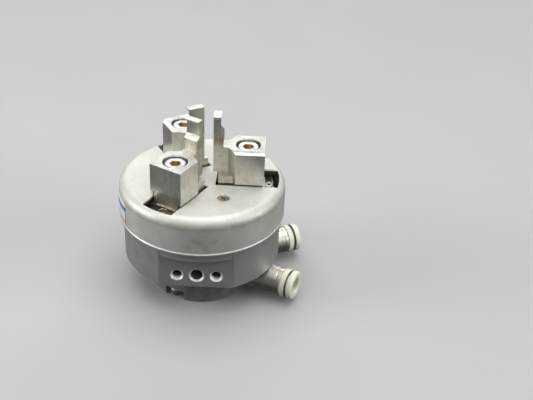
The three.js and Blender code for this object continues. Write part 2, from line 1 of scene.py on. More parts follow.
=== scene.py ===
"""Pneumatic gripper: finished meshes, materials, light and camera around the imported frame."""
import json
from math import acos, asin, atan2, cos, hypot, pi, radians, sin, sqrt, tan, tau
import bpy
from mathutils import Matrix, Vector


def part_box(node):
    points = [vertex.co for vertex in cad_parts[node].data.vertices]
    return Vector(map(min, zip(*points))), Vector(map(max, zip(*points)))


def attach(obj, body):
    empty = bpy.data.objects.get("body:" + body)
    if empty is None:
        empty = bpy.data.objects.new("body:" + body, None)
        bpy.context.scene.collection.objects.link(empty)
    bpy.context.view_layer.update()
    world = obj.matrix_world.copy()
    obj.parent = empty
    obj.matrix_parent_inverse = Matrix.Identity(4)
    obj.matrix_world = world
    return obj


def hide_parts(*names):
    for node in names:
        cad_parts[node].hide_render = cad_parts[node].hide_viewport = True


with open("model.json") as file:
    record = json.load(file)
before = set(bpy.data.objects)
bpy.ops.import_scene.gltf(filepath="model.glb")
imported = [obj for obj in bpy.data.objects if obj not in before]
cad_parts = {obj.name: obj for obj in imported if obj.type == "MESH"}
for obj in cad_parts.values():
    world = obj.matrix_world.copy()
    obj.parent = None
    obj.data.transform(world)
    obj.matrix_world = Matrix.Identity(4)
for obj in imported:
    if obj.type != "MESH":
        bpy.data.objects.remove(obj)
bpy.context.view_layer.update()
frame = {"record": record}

from types import SimpleNamespace as Sizes

import bmesh
import bpy
from mathutils import Matrix, Vector

MM = 0.001
BIG = 192  # facets on the housing cylinders
MID = 96  # facets on hub-sized and fitting cylinders
SMALL = 48  # facets on screws and pins
FINGERS = ("a", "b", "c")
TURN = tau / 3  # angle between neighbouring fingers
BETWEEN = pi / 3  # cover screws and base taps sit halfway between the fingers
PAST = 1.0  # how far a cut runs past the face it opens
CLEAR = 0.05  # around screws, seals and sleeves
TIGHT = 0.02  # around screws and pins in their own holes
SPARE = 0.3  # how far a hole runs past its screw
EDGE = 1  # material slot of freshly cut edges and chamfers
DEEP = 2  # slot of hollows holding oil and dirt, and of faces darkened by painted shade
SLOTS = 3  # every solid carries its main slot, EDGE and DEEP
THREAD_DEPTH = 0.1  # how far a tapped hole's ridges reach past its radius

BODY_OF = {node: body for body, nodes in frame["record"]["behaviour"]["bodies"].items() for node in nodes}


def span(node):
    """Lowest and highest corner of a CAD node, in millimetres."""
    low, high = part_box(node)
    return low / MM, high / MM


# ---- outlines
def arc(radius, start, end, steps, centre=(0, 0)):
    angles = [start + (end - start) * i / steps for i in range(steps + 1)]
    return [(centre[0] + radius * cos(t), centre[1] + radius * sin(t)) for t in angles]


def rounded(corners, steps=3):
    """An outline through (x, y) or (x, y, radius) corners; a corner with a radius becomes an arc."""
    outline = []
    for i, corner in enumerate(corners):
        here = Vector(corner[:2])
        radius = corner[2] if len(corner) > 2 else 0
        if radius == 0:
            outline.append(tuple(here))
            continue
        back = (Vector(corners[i - 1][:2]) - here).normalized()
        ahead = (Vector(corners[(i + 1) % len(corners)][:2]) - here).normalized()
        half = back.angle(ahead) / 2
        centre = here + (back + ahead).normalized() * radius / sin(half)
        first = here + back * radius / tan(half) - centre
        last = here + ahead * radius / tan(half) - centre
        for step in range(steps + 1):
            spoke = first.lerp(last, step / steps).normalized() * radius
            outline.append(tuple(centre + spoke))
    return outline


def square(half):
    return [(-half, -half), (half, -half), (half, half), (-half, half)]


def flipped(outline):
    """The mirror image of an anticlockwise outline, still anticlockwise."""
    return [(-x, y) for x, y in reversed(outline)]


def ring_section(inner, outer, low, high, edge=0.12):
    """A rectangle with rounded corners, as the section of a ring."""
    return rounded([(inner, low, edge), (outer, low, edge), (outer, high, edge), (inner, high, edge)], 2)


# ---- solids, in millimetres
def solid(points, faces):
    mesh = bpy.data.meshes.new("solid")
    mesh.from_pydata(points, [], faces)
    for _ in range(SLOTS):
        mesh.materials.append(None)
    obj = bpy.data.objects.new("solid", mesh)
    bpy.context.scene.collection.objects.link(obj)
    return obj


def stacked(rings, closed=False):
    """Quads between equal rings of points, with flat end faces unless the last ring meets the first."""
    count = len(rings[0])
    faces = []
    for i in range(len(rings) if closed else len(rings) - 1):
        low = i * count
        high = (i + 1) % len(rings) * count
        for k in range(count):
            after = (k + 1) % count
            faces.append((low + k, low + after, high + after, high + k))
    if not closed:
        faces.append(tuple(reversed(range(count))))
        faces.append(tuple((len(rings) - 1) * count + k for k in range(count)))
    return solid([point for ring in rings for point in ring], faces)


def turned(profile, segments=MID, angles=None):
    """A solid of revolution about Z from anticlockwise (r, z) points, open or on the axis at both ends."""
    closed = profile[0][0] > 1e-6
    kept = profile if closed else profile[1:-1]
    angles = angles or [tau * k / segments for k in range(segments)]
    return stacked([[(r * cos(t), r * sin(t), z) for t in angles] for r, z in kept], closed)


def rod(radius, z0, z1, segments=SMALL):
    return turned([(0, z0), (radius, z0), (radius, z1), (0, z1)], segments)


def prism(outline, z0, z1):
    return stacked([[(x, y, z) for x, y in outline] for z in (z0, z1)])


def bar(section, x0, x1):
    """A bar along X over an anticlockwise outline of (y, z) points."""
    return stacked([[(x, y, z) for y, z in section] for x in (x0, x1)])


def cross_bar(section, y0, y1):
    """A bar along Y over an anticlockwise outline of (x, z) points."""
    return stacked([[(x, y, z) for x, z in section] for y in (y1, y0)])


def box(x0, x1, y0, y1, z0, z1):
    return prism([(x0, y0), (x1, y0), (x1, y1), (x0, y1)], z0, z1)


def sector(inner, outer, half, z0, z1, steps=12):
    """Part of a ring between the angles -half and +half."""
    return prism(arc(outer, -half, half, steps) + arc(inner, half, -half, steps), z0, z1)


def moved(obj, matrix):
    obj.data.transform(matrix)
    return obj


def shift(obj, x=0, y=0, z=0):
    return moved(obj, Matrix.Translation((x, y, z)))


def spin(obj, angle):
    return moved(obj, Matrix.Rotation(angle, 4, "Z"))


def along_x(obj):
    """Lays a part that stands on Z down along +X."""
    return moved(obj, Matrix.Rotation(pi / 2, 4, "Y"))


def copied(obj, angle=0):
    twin = bpy.data.objects.new("solid", obj.data.copy())
    bpy.context.scene.collection.objects.link(twin)
    return spin(twin, angle)


def around(obj, start=0, count=3):
    """Copies of a part spread evenly about Z; the part itself is used up."""
    copies = [copied(obj, start + i * tau / count) for i in range(count)]
    bpy.data.objects.remove(obj)
    return copies


def paint(obj, slot, test=None):
    """Gives faces a material slot: all of them, or those whose (centre, normal) pass the test."""
    for face in obj.data.polygons:
        if test is None or test(face.center, face.normal):
            face.material_index = slot
    return obj


def apply_modifiers(obj):
    bpy.context.view_layer.update()
    graph = bpy.context.evaluated_depsgraph_get()
    mesh = bpy.data.meshes.new_from_object(obj.evaluated_get(graph))
    obj.modifiers.clear()
    obj.data = mesh
    return obj


def combine(obj, others, operation):
    for other in others:
        step = obj.modifiers.new("combine", "BOOLEAN")
        step.operation = operation
        step.solver = "EXACT"
        step.object = other
    apply_modifiers(obj)
    for other in others:
        bpy.data.objects.remove(other)
    return obj


def cut(obj, *others):
    return combine(obj, others, "DIFFERENCE")


def join(obj, *others):
    return combine(obj, others, "UNION")


def clean(obj):
    """Merges stray points and takes out the needless edges on flat faces that a cut leaves."""
    form = bmesh.new()
    form.from_mesh(obj.data)
    bmesh.ops.remove_doubles(form, verts=form.verts, dist=0.002)
    bmesh.ops.dissolve_limit(form, angle_limit=radians(0.2), verts=form.verts, edges=form.edges,
                             delimit={"MATERIAL"})
    form.to_mesh(obj.data)
    form.free()
    return obj


def soften(obj, width=0.12, segments=2, angle=35, slot=EDGE):
    """Rounds every edge sharper than the angle; the narrow new faces take the slot of worn edges."""
    clean(obj)
    step = obj.modifiers.new("soften", "BEVEL")
    step.width = width
    step.segments = segments
    step.limit_method = "ANGLE"
    step.angle_limit = radians(angle)
    step.use_clamp_overlap = False
    step.material = slot
    step.miter_outer = "MITER_ARC"
    return apply_modifiers(obj)


def shaded(obj, angle=28):
    """Smooth curved faces, crisp corners, and flat faces that stay flat."""
    obj.data.polygons.foreach_set("use_smooth", [True] * len(obj.data.polygons))
    obj.data.set_sharp_from_angle(angle=radians(angle))
    step = obj.modifiers.new("normals", "WEIGHTED_NORMAL")
    step.keep_sharp = True
    return apply_modifiers(obj)


# ---- materials
def wire(socket, value):
    """Links another node's output to a socket, or sets the socket's own value; colours are opaque."""
    if isinstance(value, bpy.types.NodeSocket):
        socket.id_data.links.new(value, socket)
    elif socket.type == "RGBA":
        socket.default_value = (*value, 1.0)
    else:
        socket.default_value = value


def add(tree, kind, inputs=None, **settings):
    """One shader node; inputs maps a socket's name or number to a value or to another node's output."""
    node = tree.nodes.new("ShaderNode" + kind)
    for key, value in settings.items():
        setattr(node, key, value)
    for key, value in (inputs or {}).items():
        wire(node.inputs[key], value)
    return node


def noise(place, size_mm, detail=3.0, roughness=0.5):
    """Noise whose features are about size_mm across."""
    inputs = {"Vector": place, "Scale": 1 / (size_mm * MM), "Detail": detail, "Roughness": roughness}
    return add(place.id_data, "TexNoise", inputs).outputs[0]


def scaled(place, scale, turn=0.0):
    """Object coordinates turned back by an angle about Z, then stretched along their axes."""
    inputs = {"Vector": place, "Angle": -turn}
    turned_back = add(place.id_data, "VectorRotate", inputs, rotation_type="Z_AXIS").outputs[0]
    return add(place.id_data, "Mapping", {"Vector": turned_back, "Scale": scale}).outputs[0]


def ramp(value, low, high, start=0.0, end=1.0):
    """The value remapped from low..high to start..end, clamped."""
    inputs = {"Value": value, "From Min": low, "From Max": high, "To Min": start, "To Max": end}
    return add(value.id_data, "MapRange", inputs).outputs[0]


def maths(operation, a, b=0.0):
    return add(a.id_data, "Math", {0: a, 1: b}, operation=operation).outputs[0]


def blended(factor, a, b):
    """Colour a turned into colour b by a factor."""
    return add(factor.id_data, "Mix", {0: factor, 6: a, 7: b}, data_type="RGBA").outputs[2]


def upward(place):
    return add(place.id_data, "SeparateXYZ", {0: place}).outputs["Z"]


def bump(height, strength, deep_mm):
    inputs = {"Strength": strength, "Distance": deep_mm * MM, "Height": height}
    return add(height.id_data, "Bump", inputs).outputs[0]


def dimmed(colour, gain):
    return tuple(channel * gain for channel in colour)


def material(name):
    """A node material with its object coordinates and the shader to fill in."""
    made = bpy.data.materials.new(name)
    made.use_nodes = True
    tree = made.node_tree
    tree.nodes.clear()
    shader = add(tree, "BsdfPrincipled")
    add(tree, "OutputMaterial", {"Surface": shader.outputs[0]})
    return made, add(tree, "TexCoord").outputs["Object"], shader


def fill(shader, **inputs):
    for key, value in inputs.items():
        wire(shader.inputs[key.replace("_", " ")], value)


GRIME = (0.24, 0.2, 0.12)


def browned(place, tone, heights, colour, strength):
    """The tone with an uneven brown film that is strongest halfway between two heights."""
    middle = sum(heights) / 2 * MM
    fade = (heights[1] - heights[0]) / 2 * MM
    away = maths("ABSOLUTE", maths("SUBTRACT", upward(place), middle))
    uneven = ramp(noise(place, 2.4, 4, 0.6), 0.3, 0.65, 0.2 * strength, strength)
    film = maths("MULTIPLY", ramp(away, fade, fade * 0.3), uneven)
    return blended(film, tone, colour)


def blasted(name, colour, shade, metallic, roughness, dirt, stains=(), handled=None):
    """Bead-blasted, anodised aluminium: fine grain, cloudy tone, rubbed gloss, small specks and stains.

    shade is the colour of the darker clouds, a stain is ((x, y, z), radius) in millimetres, and handled
    gives the heights between which handling has browned the surface."""
    made, place, shader = material(name)
    grain = noise(place, 0.16, 2, 0.6)
    tone = blended(ramp(noise(place, 9, 4), 0.35, 0.7), colour, shade)
    tone = blended(ramp(grain, 0.3, 0.75, 0.0, 0.16), tone, dimmed(shade, 0.55))
    mottle = ramp(noise(place, 0.75, 3, 0.6), 0.4, 0.66, 0.0, 0.16)
    tone = blended(mottle, tone, dimmed(shade, 0.6))
    specks = ramp(noise(place, 0.55, 1), 0.72, 0.78)
    patches = ramp(noise(place, 5, 2), 0.5, 0.62, 0.0, dirt)
    tone = blended(maths("MULTIPLY", specks, patches), tone, GRIME)
    for centre, radius in stains:
        ends = {0: place, 1: Vector(centre) * MM}
        away = add(place.id_data, "VectorMath", ends, operation="DISTANCE").outputs["Value"]
        near = ramp(away, radius * MM, radius * MM * 0.2, 0.0, 0.5)
        grit = ramp(noise(place, 0.5, 3, 0.7), 0.44, 0.6, 0.2, 1.0)
        tone = blended(maths("MULTIPLY", near, grit), tone, GRIME)
    if handled:
        tone = browned(place, tone, handled, (0.36, 0.34, 0.24), 0.5)
    gloss = ramp(noise(place, 3, 4), 0.3, 0.7, roughness - 0.07, roughness + 0.1)
    fill(shader, Base_Color=tone, Metallic=metallic, Roughness=gloss, Normal=bump(grain, 0.25, 0.02))
    return made


def milled(name, colour, shade, turn=0.0, roughness=0.3, stretch=(1, 1, 0.04), grain_mm=0.12, oil=0.25,
           metallic=0.9, handled=None):
    """Cut and plated steel: tool marks drawn out along one axis of the part, and a cloudy film of oil."""
    made, place, shader = material(name)
    lay = scaled(place, stretch, turn)
    marks = noise(lay, grain_mm, 3, 0.6)
    waves = noise(lay, grain_mm * 9, 2)
    tone = blended(ramp(noise(place, 3.5, 4), 0.35, 0.68), colour, shade)
    tone = blended(ramp(marks, 0.35, 0.7, 0.0, 0.22), tone, dimmed(shade, 0.6))
    film = ramp(noise(place, 1.6, 5, 0.6), 0.52, 0.75, 0.0, oil)
    tone = blended(film, tone, (0.30, 0.24, 0.13))
    if handled:
        tone = browned(place, tone, handled, (0.4, 0.31, 0.15), 0.6)
    gloss = maths("ADD", ramp(marks, 0.3, 0.7, roughness - 0.06, roughness + 0.1),
                  ramp(waves, 0.3, 0.7, -0.03, 0.06))
    height = maths("ADD", marks, maths("MULTIPLY", waves, 1.5))
    fill(shader, Base_Color=tone, Metallic=metallic, Roughness=gloss, Normal=bump(height, 0.3, 0.01))
    return made


def plated(name, colour, shade, roughness=0.16):
    """Bright plating or polished steel with faint tarnish and hairline scratches."""
    made, place, shader = material(name)
    tone = blended(ramp(noise(place, 2.2, 4), 0.38, 0.66), colour, shade)
    tarnish = ramp(noise(place, 1.1, 5, 0.65), 0.55, 0.8, 0.0, 0.35)
    tone = blended(tarnish, tone, (0.42, 0.34, 0.22))
    hairs = noise(scaled(place, (1, 0.08, 1)), 0.1, 2)
    gloss = ramp(hairs, 0.3, 0.7, roughness - 0.05, roughness + 0.09)
    fill(shader, Base_Color=tone, Metallic=0.95, Roughness=gloss, Normal=bump(hairs, 0.12, 0.003))
    return made


def moulded(name, colour, shade, roughness, subsurface=0.0, grain_mm=0.25):
    """Moulded plastic, rubber or film: soft tone changes, a faint skin texture and rubbed gloss."""
    made, place, shader = material(name)
    tone = blended(ramp(noise(place, 2.5, 4), 0.35, 0.7), colour, shade)
    skin = noise(place, grain_mm, 3)
    gloss = ramp(noise(place, 1.2, 4), 0.3, 0.7, roughness - 0.06, roughness + 0.12)
    fill(shader, Base_Color=tone, Roughness=gloss, Normal=bump(skin, 0.12, 0.02),
         Subsurface_Weight=subsurface, Subsurface_Scale=MM)
    return made


def layered(made):
    """A finished material's shader, colour and height above the floor, for another layer on it."""
    tree = made.node_tree
    shader = next(node for node in tree.nodes if node.type == "BSDF_PRINCIPLED")
    place = add(tree, "TexCoord").outputs["Object"]
    return shader, shader.inputs["Base Color"].links[0].from_socket, upward(place)


def label_film():
    """A pale blue film with plain white, dark and orange bands (from, to, colour) in place of a print."""
    made = moulded("label_film", (0.55, 0.68, 0.84), (0.74, 0.8, 0.86), 0.4, grain_mm=0.8)
    shader, tone, height = layered(made)
    for low, high, colour in ((28, 28.9, (0.85, 0.87, 0.88)), (26.9, 27.9, (0.08, 0.13, 0.26)),
                              (24.6, 25.7, (0.8, 0.82, 0.84)), (23.1, 24, (0.75, 0.34, 0.14))):
        away = maths("ABSOLUTE", maths("SUBTRACT", height, (low + high) / 2 * MM))
        inside = maths("LESS_THAN", away, (high - low) / 2 * MM)
        tone = blended(inside, tone, colour)
    fill(shader, Base_Color=tone)
    return made


STAINS = [
    ((-0.4, -22.5, 26), 1.3), ((-2.1, -22.4, 24.1), 1.5), ((1, -22.5, 25.4), 1.5),
    ((2.8, -22.3, 23.8), 1.5), ((4.8, -22, 25.6), 1.2), ((-0.2, -12.6, 32), 0.75),
    ((14.4, -13.9, 31.9), 0.6), ((19.9, -10, 31.3), 0.9),
]
ANODISED_LIGHT = blasted("anodised_light", (0.7, 0.7, 0.652), (0.63, 0.626, 0.57), 0.4, 0.5, 0.25,
                         STAINS, handled=(28.4, 31))
ANODISED_GREY = blasted("anodised_grey", (0.48, 0.48, 0.462), (0.41, 0.41, 0.39), 0.5, 0.42, 0.15)
# Boss and plug: turned aluminium, darkened by painted shade low on the gripper
TURNED_SHADED = milled("turned_painted_shade", (0.36, 0.36, 0.355), (0.24, 0.24, 0.235), roughness=0.42,
                     stretch=(0.03, 0.03, 1), grain_mm=0.22, oil=0.12, metallic=0.55)
# Walls of slots a and c: oil, and painted shade for the dark inside of the slots
OILY_SHADED_WALL = blasted("oily_slot_wall_painted_shade", (0.24, 0.23, 0.185), (0.09, 0.085, 0.06), 0.2, 0.5, 0.6)
BARE_EDGE = milled("bare_edge", (0.86, 0.86, 0.83), (0.75, 0.75, 0.71), roughness=0.25, oil=0.05)
SATIN_EDGE = milled("satin_edge", (0.97, 0.97, 0.95), (0.86, 0.86, 0.83), roughness=0.42, oil=0.05,
                    metallic=0.35)
HOLE_WALL = milled("hole_wall", (0.42, 0.38, 0.32), (0.18, 0.16, 0.13), roughness=0.45, oil=0.5,
                   metallic=0.6)
# Jaw and cap tops: a ground finish, made darker than the jaw steel by painted shade
GROUND_TOP_SHADED = milled("ground_top_painted_shade", (0.71, 0.7, 0.66), (0.52, 0.51, 0.47), roughness=0.36,
                    stretch=(0.08, 1, 1))
BRIGHT = plated("bright_screw", (0.64, 0.64, 0.64), (0.36, 0.36, 0.4), 0.24)
BROWNED_SCREW = plated("browned_screw", (0.6, 0.55, 0.45), (0.4, 0.34, 0.24), 0.3)
WORN_SCREW = plated("worn_screw", (0.55, 0.54, 0.5), (0.3, 0.29, 0.25), 0.3)
DULL = plated("dull_screw", (0.34, 0.33, 0.3), (0.2, 0.19, 0.17), 0.5)
RECESS = milled("oily_recess", (0.9, 0.79, 0.5), (0.22, 0.16, 0.07), roughness=0.35, oil=0.6)
DARK_STEEL = milled("oiled_slide_steel", (0.3, 0.275, 0.21), (0.1, 0.095, 0.08), oil=0.5)
# The guide plate, seen down the slots: near black with oil and painted shade
PLATE_STEEL_SHADED = milled("guide_plate_steel_painted_shade", (0.13, 0.12, 0.09), (0.05, 0.045, 0.03), roughness=0.34, oil=0.4)
ROTOR_STEEL = milled("rotor_steel", (0.5, 0.49, 0.45), (0.36, 0.35, 0.31), oil=0.4)
OILY_LEDGE = milled("oily_ledge", (0.5, 0.47, 0.34), (0.3, 0.27, 0.18), roughness=0.4, oil=0.6)
# Between collar and button: grime, with painted shade in the gap
GAP_GRIME_SHADED = moulded("gap_grime_painted_shade", (0.42, 0.4, 0.29), (0.14, 0.125, 0.08), 0.6)
CREAM = moulded("cream_plastic", (0.90, 0.92, 0.77), (0.83, 0.86, 0.68), 0.35, 0.15)
RUBBER = moulded("black_rubber", (0.028, 0.028, 0.028), (0.045, 0.043, 0.04), 0.7)
BRONZE = milled("bearing_bronze", (0.55, 0.36, 0.15), (0.42, 0.26, 0.1), roughness=0.35, oil=0.4)
FILM = label_film()


# ---- putting a finished solid in the place of a CAD node
def finish_piece(obj, node, *materials):
    obj.name = "fine_" + node
    obj.data.name = obj.name
    shaded(obj)
    obj.data.transform(Matrix.Scale(MM, 4))
    for i, made in enumerate(materials):
        obj.data.materials[i] = made
    while len(obj.data.materials) > len(materials):
        obj.data.materials.pop()
    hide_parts(node)
    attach(obj, BODY_OF[node])


def finish_three(obj, node, *materials, start=0):
    """The same piece at each of the three stations, as node_a, node_b and node_c."""
    for i, finger in enumerate(FINGERS):
        finish_piece(copied(obj, start + i * TURN), f"{node}_{finger}", *materials)
    bpy.data.objects.remove(obj)


def threaded(radius, low, high, pitch=0.5, depth=0.12):
    """The side of a screw or tapping as (r, z) points: even ridges from a low to a high end."""
    count = max(1, int((high - low) / pitch))
    step = (high - low) / count
    points = []
    for i in range(count):
        points += [(radius - depth, low + i * step), (radius, low + (i + 0.5) * step)]
    return points + [(radius - depth, high)]


# ---- cover
COVER_LOW, COVER_HIGH = span("cover")
COVER_R = COVER_HIGH.x
COVER_TOP = COVER_HIGH.z
SEAM = COVER_LOW.z
COVER_BORE = 20.8
COVER_FILLET = 2.7
SLOT_HALF = 4.455
SLOT_INNER = 3.84
SLOT_OUTER = 20.76
SLOT_LIP = 0.65  # the slots are wider below this depth
UNDERCUT = 0.7
PLATE_HIGH = span("guide_plate")[1]
PLATE_TOP = PLATE_HIGH.z
SCREW_LOW, SCREW_HIGH = span("cover_screw_b")
COVER_SCREW = Sizes(
    at=-(SCREW_LOW.x + SCREW_HIGH.x) / 2, head=(SCREW_HIGH.x - SCREW_LOW.x) / 2, top=SCREW_HIGH.z,
    low=SCREW_LOW.z, shank=0.8, cone=0.8,
)
CROSS = Sizes(reach=0.85, half=0.2, deep=0.75, hub=0.42)


def cover_height(x, y):
    """Height of the cover's top surface above a point."""
    into = max(0, hypot(x, y) - (COVER_R - COVER_FILLET))
    return COVER_TOP - COVER_FILLET + sqrt(COVER_FILLET**2 - into**2)


def outward(outline):
    """At each corner of an anticlockwise outline, the step that moves both its sides out by one."""
    steps = []
    for i, point in enumerate(outline):
        before = (Vector(point) - Vector(outline[i - 1])).normalized()
        after = (Vector(outline[(i + 1) % len(outline)]) - Vector(point)).normalized()
        sides = Vector((before.y + after.y, -before.x - after.x)).normalized()
        steps.append(sides / max(0.3, sides.dot(Vector((before.y, -before.x)))))
    return steps


def widened(outline, by):
    """An anticlockwise outline with every side moved out."""
    return [(x + step.x * by, y + step.y * by) for (x, y), step in zip(outline, outward(outline))]


def lipped_cut(outline):
    """A cut through the cover's top whose mouth flares in two narrow facets."""
    flare = 0.14
    rings = [[(x, y, PLATE_TOP - PAST) for x, y in outline]]
    for out, down in ((0, flare), (0.3 * flare, 0.3 * flare), (flare, 0)):
        heights = [cover_height(x, y) - down for x, y in outline]
        rings.append([(x, y, z) for (x, y), z in zip(widened(outline, out), heights)])
    rings.append([(x, y, z + PAST) for x, y, z in rings[-1]])
    # the cut's walls take the dark slot-wall colour, which is painted shade; the flare takes the edge
    # colour
    cutter = paint(stacked(rings), DEEP)
    for face in cutter.data.polygons[len(outline):3 * len(outline)]:
        face.material_index = EDGE
    return cutter


def cover():
    corner = (COVER_R - COVER_FILLET, COVER_TOP - COVER_FILLET)
    seam_edge = 0.22
    shell = turned([
        (0, PLATE_TOP), (COVER_BORE, PLATE_TOP), (COVER_BORE, SEAM), (COVER_R - seam_edge, SEAM),
        (COVER_R, SEAM + seam_edge), *arc(COVER_FILLET, 0, pi / 2, 14, corner), (0, COVER_TOP),
    ], BIG)
    paint(shell, EDGE, lambda c, n: c.z < SEAM + seam_edge and -0.9 < n.z < -0.3)
    reach = asin(SLOT_HALF / SLOT_OUTER)
    outline = [(SLOT_INNER, -SLOT_HALF), *arc(SLOT_OUTER, -reach, reach, 14), (SLOT_INNER, SLOT_HALF)]
    # the undercut's walls take the same dark colour: painted shade
    hollow = paint(prism(widened(outline, UNDERCUT), PLATE_TOP - PAST, COVER_TOP - SLOT_LIP), DEEP)
    shank = COVER_SCREW.shank + CLEAR
    mouth = COVER_SCREW.head + CLEAR
    sink = turned([
        (0, PLATE_TOP - PAST), (shank, PLATE_TOP - PAST), (shank, COVER_SCREW.top - COVER_SCREW.cone),
        (mouth, COVER_SCREW.top), (mouth + CLEAR, COVER_TOP), (mouth + CLEAR, COVER_TOP + PAST),
        (0, COVER_TOP + PAST),
    ], SMALL)
    paint(sink, EDGE)
    slots, hollows = around(lipped_cut(outline)), around(hollow)
    # slot b keeps light anodised walls; slots a and c keep the dark ones, which are painted shade
    paint(slots[1], 0)
    paint(hollows[1], 0)
    cut(shell, *slots, *hollows, *around(shift(sink, COVER_SCREW.at), BETWEEN))
    finish_piece(clean(shell), "cover", ANODISED_LIGHT, BARE_EDGE, OILY_SHADED_WALL)


def cover_screws():
    """Countersunk screws with a tapered cross recess and a threaded shank."""
    head, shank, top, low = COVER_SCREW.head, COVER_SCREW.shank, COVER_SCREW.top, COVER_SCREW.low
    screw = turned([
        (0, low), (shank - 0.2, low), *threaded(shank, low + 0.1, top - 1.5, 0.4, 0.1),
        (shank, top - 1.4), (shank, top - COVER_SCREW.cone), (head, top - 0.12), (head - 0.06, top),
        (0, top),
    ], SMALL)
    arm = [(x * CROSS.reach, y * CROSS.half) for x, y in square(1)]
    wing = stacked([
        [(x * 0.45, y * 0.6, top - CROSS.deep) for x, y in arm],
        [(x, y, top - 0.05) for x, y in arm],
        [(x, y, top + PAST) for x, y in arm],
    ])
    recess = join(wing, copied(wing, pi / 2))
    cut(screw, paint(recess, DEEP), paint(rod(CROSS.hub, top - 0.6, top + PAST, 12), DEEP))
    finish_three(shift(clean(screw), COVER_SCREW.at), "cover_screw", BROWNED_SCREW, BRIGHT, RECESS,
                 start=BETWEEN)


def label():
    """A film with rounded corners, wrapped round the cover's side."""
    low, high = span("label")
    outer = -low.x
    inner = COVER_R + 0.03
    first = -acos(max(-1, high.x / outer))
    last = -pi - asin(high.y / outer)
    middle = (first + last) / 2
    reach = abs(last - first) / 2 * outer
    tall = (high.z - low.z) / 2
    corner = 0.8
    sheet = rounded([(x * reach, y * tall, corner) for x, y in square(1)], 5)
    count = 28
    even = {reach * (2 * i / count - 1) for i in range(1, count)}
    centre = (low.z + high.z) / 2
    rings = []
    for x in sorted({round(x, 5) for x, _ in sheet} | even):
        angle = middle + x / outer
        into = max(0, abs(x) - (reach - corner))
        half = tall - corner + sqrt(max(0, corner**2 - into**2))
        rings.append([(r * cos(angle), r * sin(angle), centre + z)
                      for r, z in ((inner, -half), (inner, half), (outer, half), (outer, -half))])
    finish_piece(stacked(rings), "label", FILM)


# ---- body
MOUNT_AT = {mount["name"]: Vector(mount["pos_m"]) / MM for mount in frame["record"]["mounts"]}
BODY_LOW, BODY_HIGH = span("body")
BODY_BOTTOM = BODY_LOW.z
BODY_R = 21.5
FLANGE_R = COVER_R  # flush with the cover, so that its bright chamfer shows as a line at the seam
FLANGE_LOW = 21.1
FLANGE_EDGE = 0.27
SPIGOT = (19.4, 20.7, BODY_HIGH.z)
CAM_POCKET = (15.6, 20.3)
BEARING_BORE = (4.65, 10.2)
SHAFT_R = 3
FLAT_Y = MOUNT_AT["side_face"].y
FLAT_TOP = 18.7
HOLES_Z = 12.65
HOLES_PITCH = 5.2
HOLES_DEPTH = 5
SIDE_TAP = Sizes(r=1.25, mouth=1.75)
SIDE_BORE = Sizes(r=1.6, mouth=2.05)


def through_angles(marks, segments=BIG):
    """Angles round the circle in nearly even steps that land exactly on the marks."""
    marks = sorted(mark % tau for mark in marks)
    angles = []
    for i, mark in enumerate(marks):
        gap = (marks[(i + 1) % len(marks)] - mark) % tau
        steps = max(1, round(segments * gap / tau))
        angles += [mark + gap * k / steps for k in range(steps)]
    return angles


def side_hole(x, size):
    """A blind hole in the side flat with a chamfered mouth, threaded if it is a tapping."""
    radius, mouth = size.r, size.mouth
    tapped = size is SIDE_TAP
    wall = threaded(radius + THREAD_DEPTH, -HOLES_DEPTH + 0.6, radius - mouth - 0.1) if tapped else []
    hole = turned([
        (0, -HOLES_DEPTH - 0.5), (radius - 0.1, -HOLES_DEPTH), *wall, (radius, radius - mouth),
        (mouth, 0), (mouth, PAST), (0, PAST),
    ], SMALL)
    # deeper wall takes the darker hole-wall colour; the mouth and first 1.5 mm of wall take the bright
    # satin edge
    paint(hole, DEEP)
    # that bright wall is bare metal, with painted light on the lit lower wall
    paint(hole, EDGE, lambda c, n: -1.5 < c.z < 0)
    return shift(moved(hole, Matrix.Rotation(pi / 2, 4, "X")), x, FLAT_Y, HOLES_Z)


def body():
    half = acos(-FLAT_Y / BODY_R)
    spigot_in, spigot_out, spigot_top = SPIGOT
    profile = [
        (SHAFT_R + 0.1, BODY_BOTTOM), (BODY_R - 0.25, BODY_BOTTOM), (BODY_R, BODY_BOTTOM + 0.25),
        (BODY_R, FLANGE_LOW), (FLANGE_R - 0.08, FLANGE_LOW), (FLANGE_R, FLANGE_LOW + 0.08),
        (FLANGE_R, SEAM - FLANGE_EDGE), (FLANGE_R - FLANGE_EDGE, SEAM), (spigot_out, SEAM),
        (spigot_out, spigot_top - 0.15), (spigot_out - 0.15, spigot_top), (spigot_in, spigot_top),
        (spigot_in, SEAM), (CAM_POCKET[0], SEAM), CAM_POCKET, (BEARING_BORE[0], CAM_POCKET[1]),
        BEARING_BORE, (SHAFT_R + 0.1, BEARING_BORE[1]),
    ]
    shell = turned(profile, angles=through_angles([-pi / 2 - half, -pi / 2 + half, -pi / 2]))
    paint(shell, EDGE,
          lambda c, n: c.z > SEAM - FLANGE_EDGE and 0.3 < n.z < 0.9 and hypot(c.x, c.y) > BODY_R)
    cut(shell, box(-BODY_R, BODY_R, -BODY_R - PAST, FLAT_Y, BODY_BOTTOM - PAST, FLAT_TOP))
    base, guide = BASE_SCREW, GUIDE_SCREW
    base_hole = shift(rod(base.shank + TIGHT, BODY_BOTTOM - PAST, base.tip + SPARE), base.at)
    guide_hole = shift(rod(guide.shank + TIGHT, guide.tip - SPARE, SEAM + PAST), guide.at)
    cut(shell, side_hole(-HOLES_PITCH, SIDE_TAP), side_hole(0, SIDE_BORE),
        side_hole(HOLES_PITCH, SIDE_TAP), *around(base_hole, base.turn), *around(guide_hole))
    finish_piece(clean(shell), "body", ANODISED_GREY, SATIN_EDGE, HOLE_WALL)


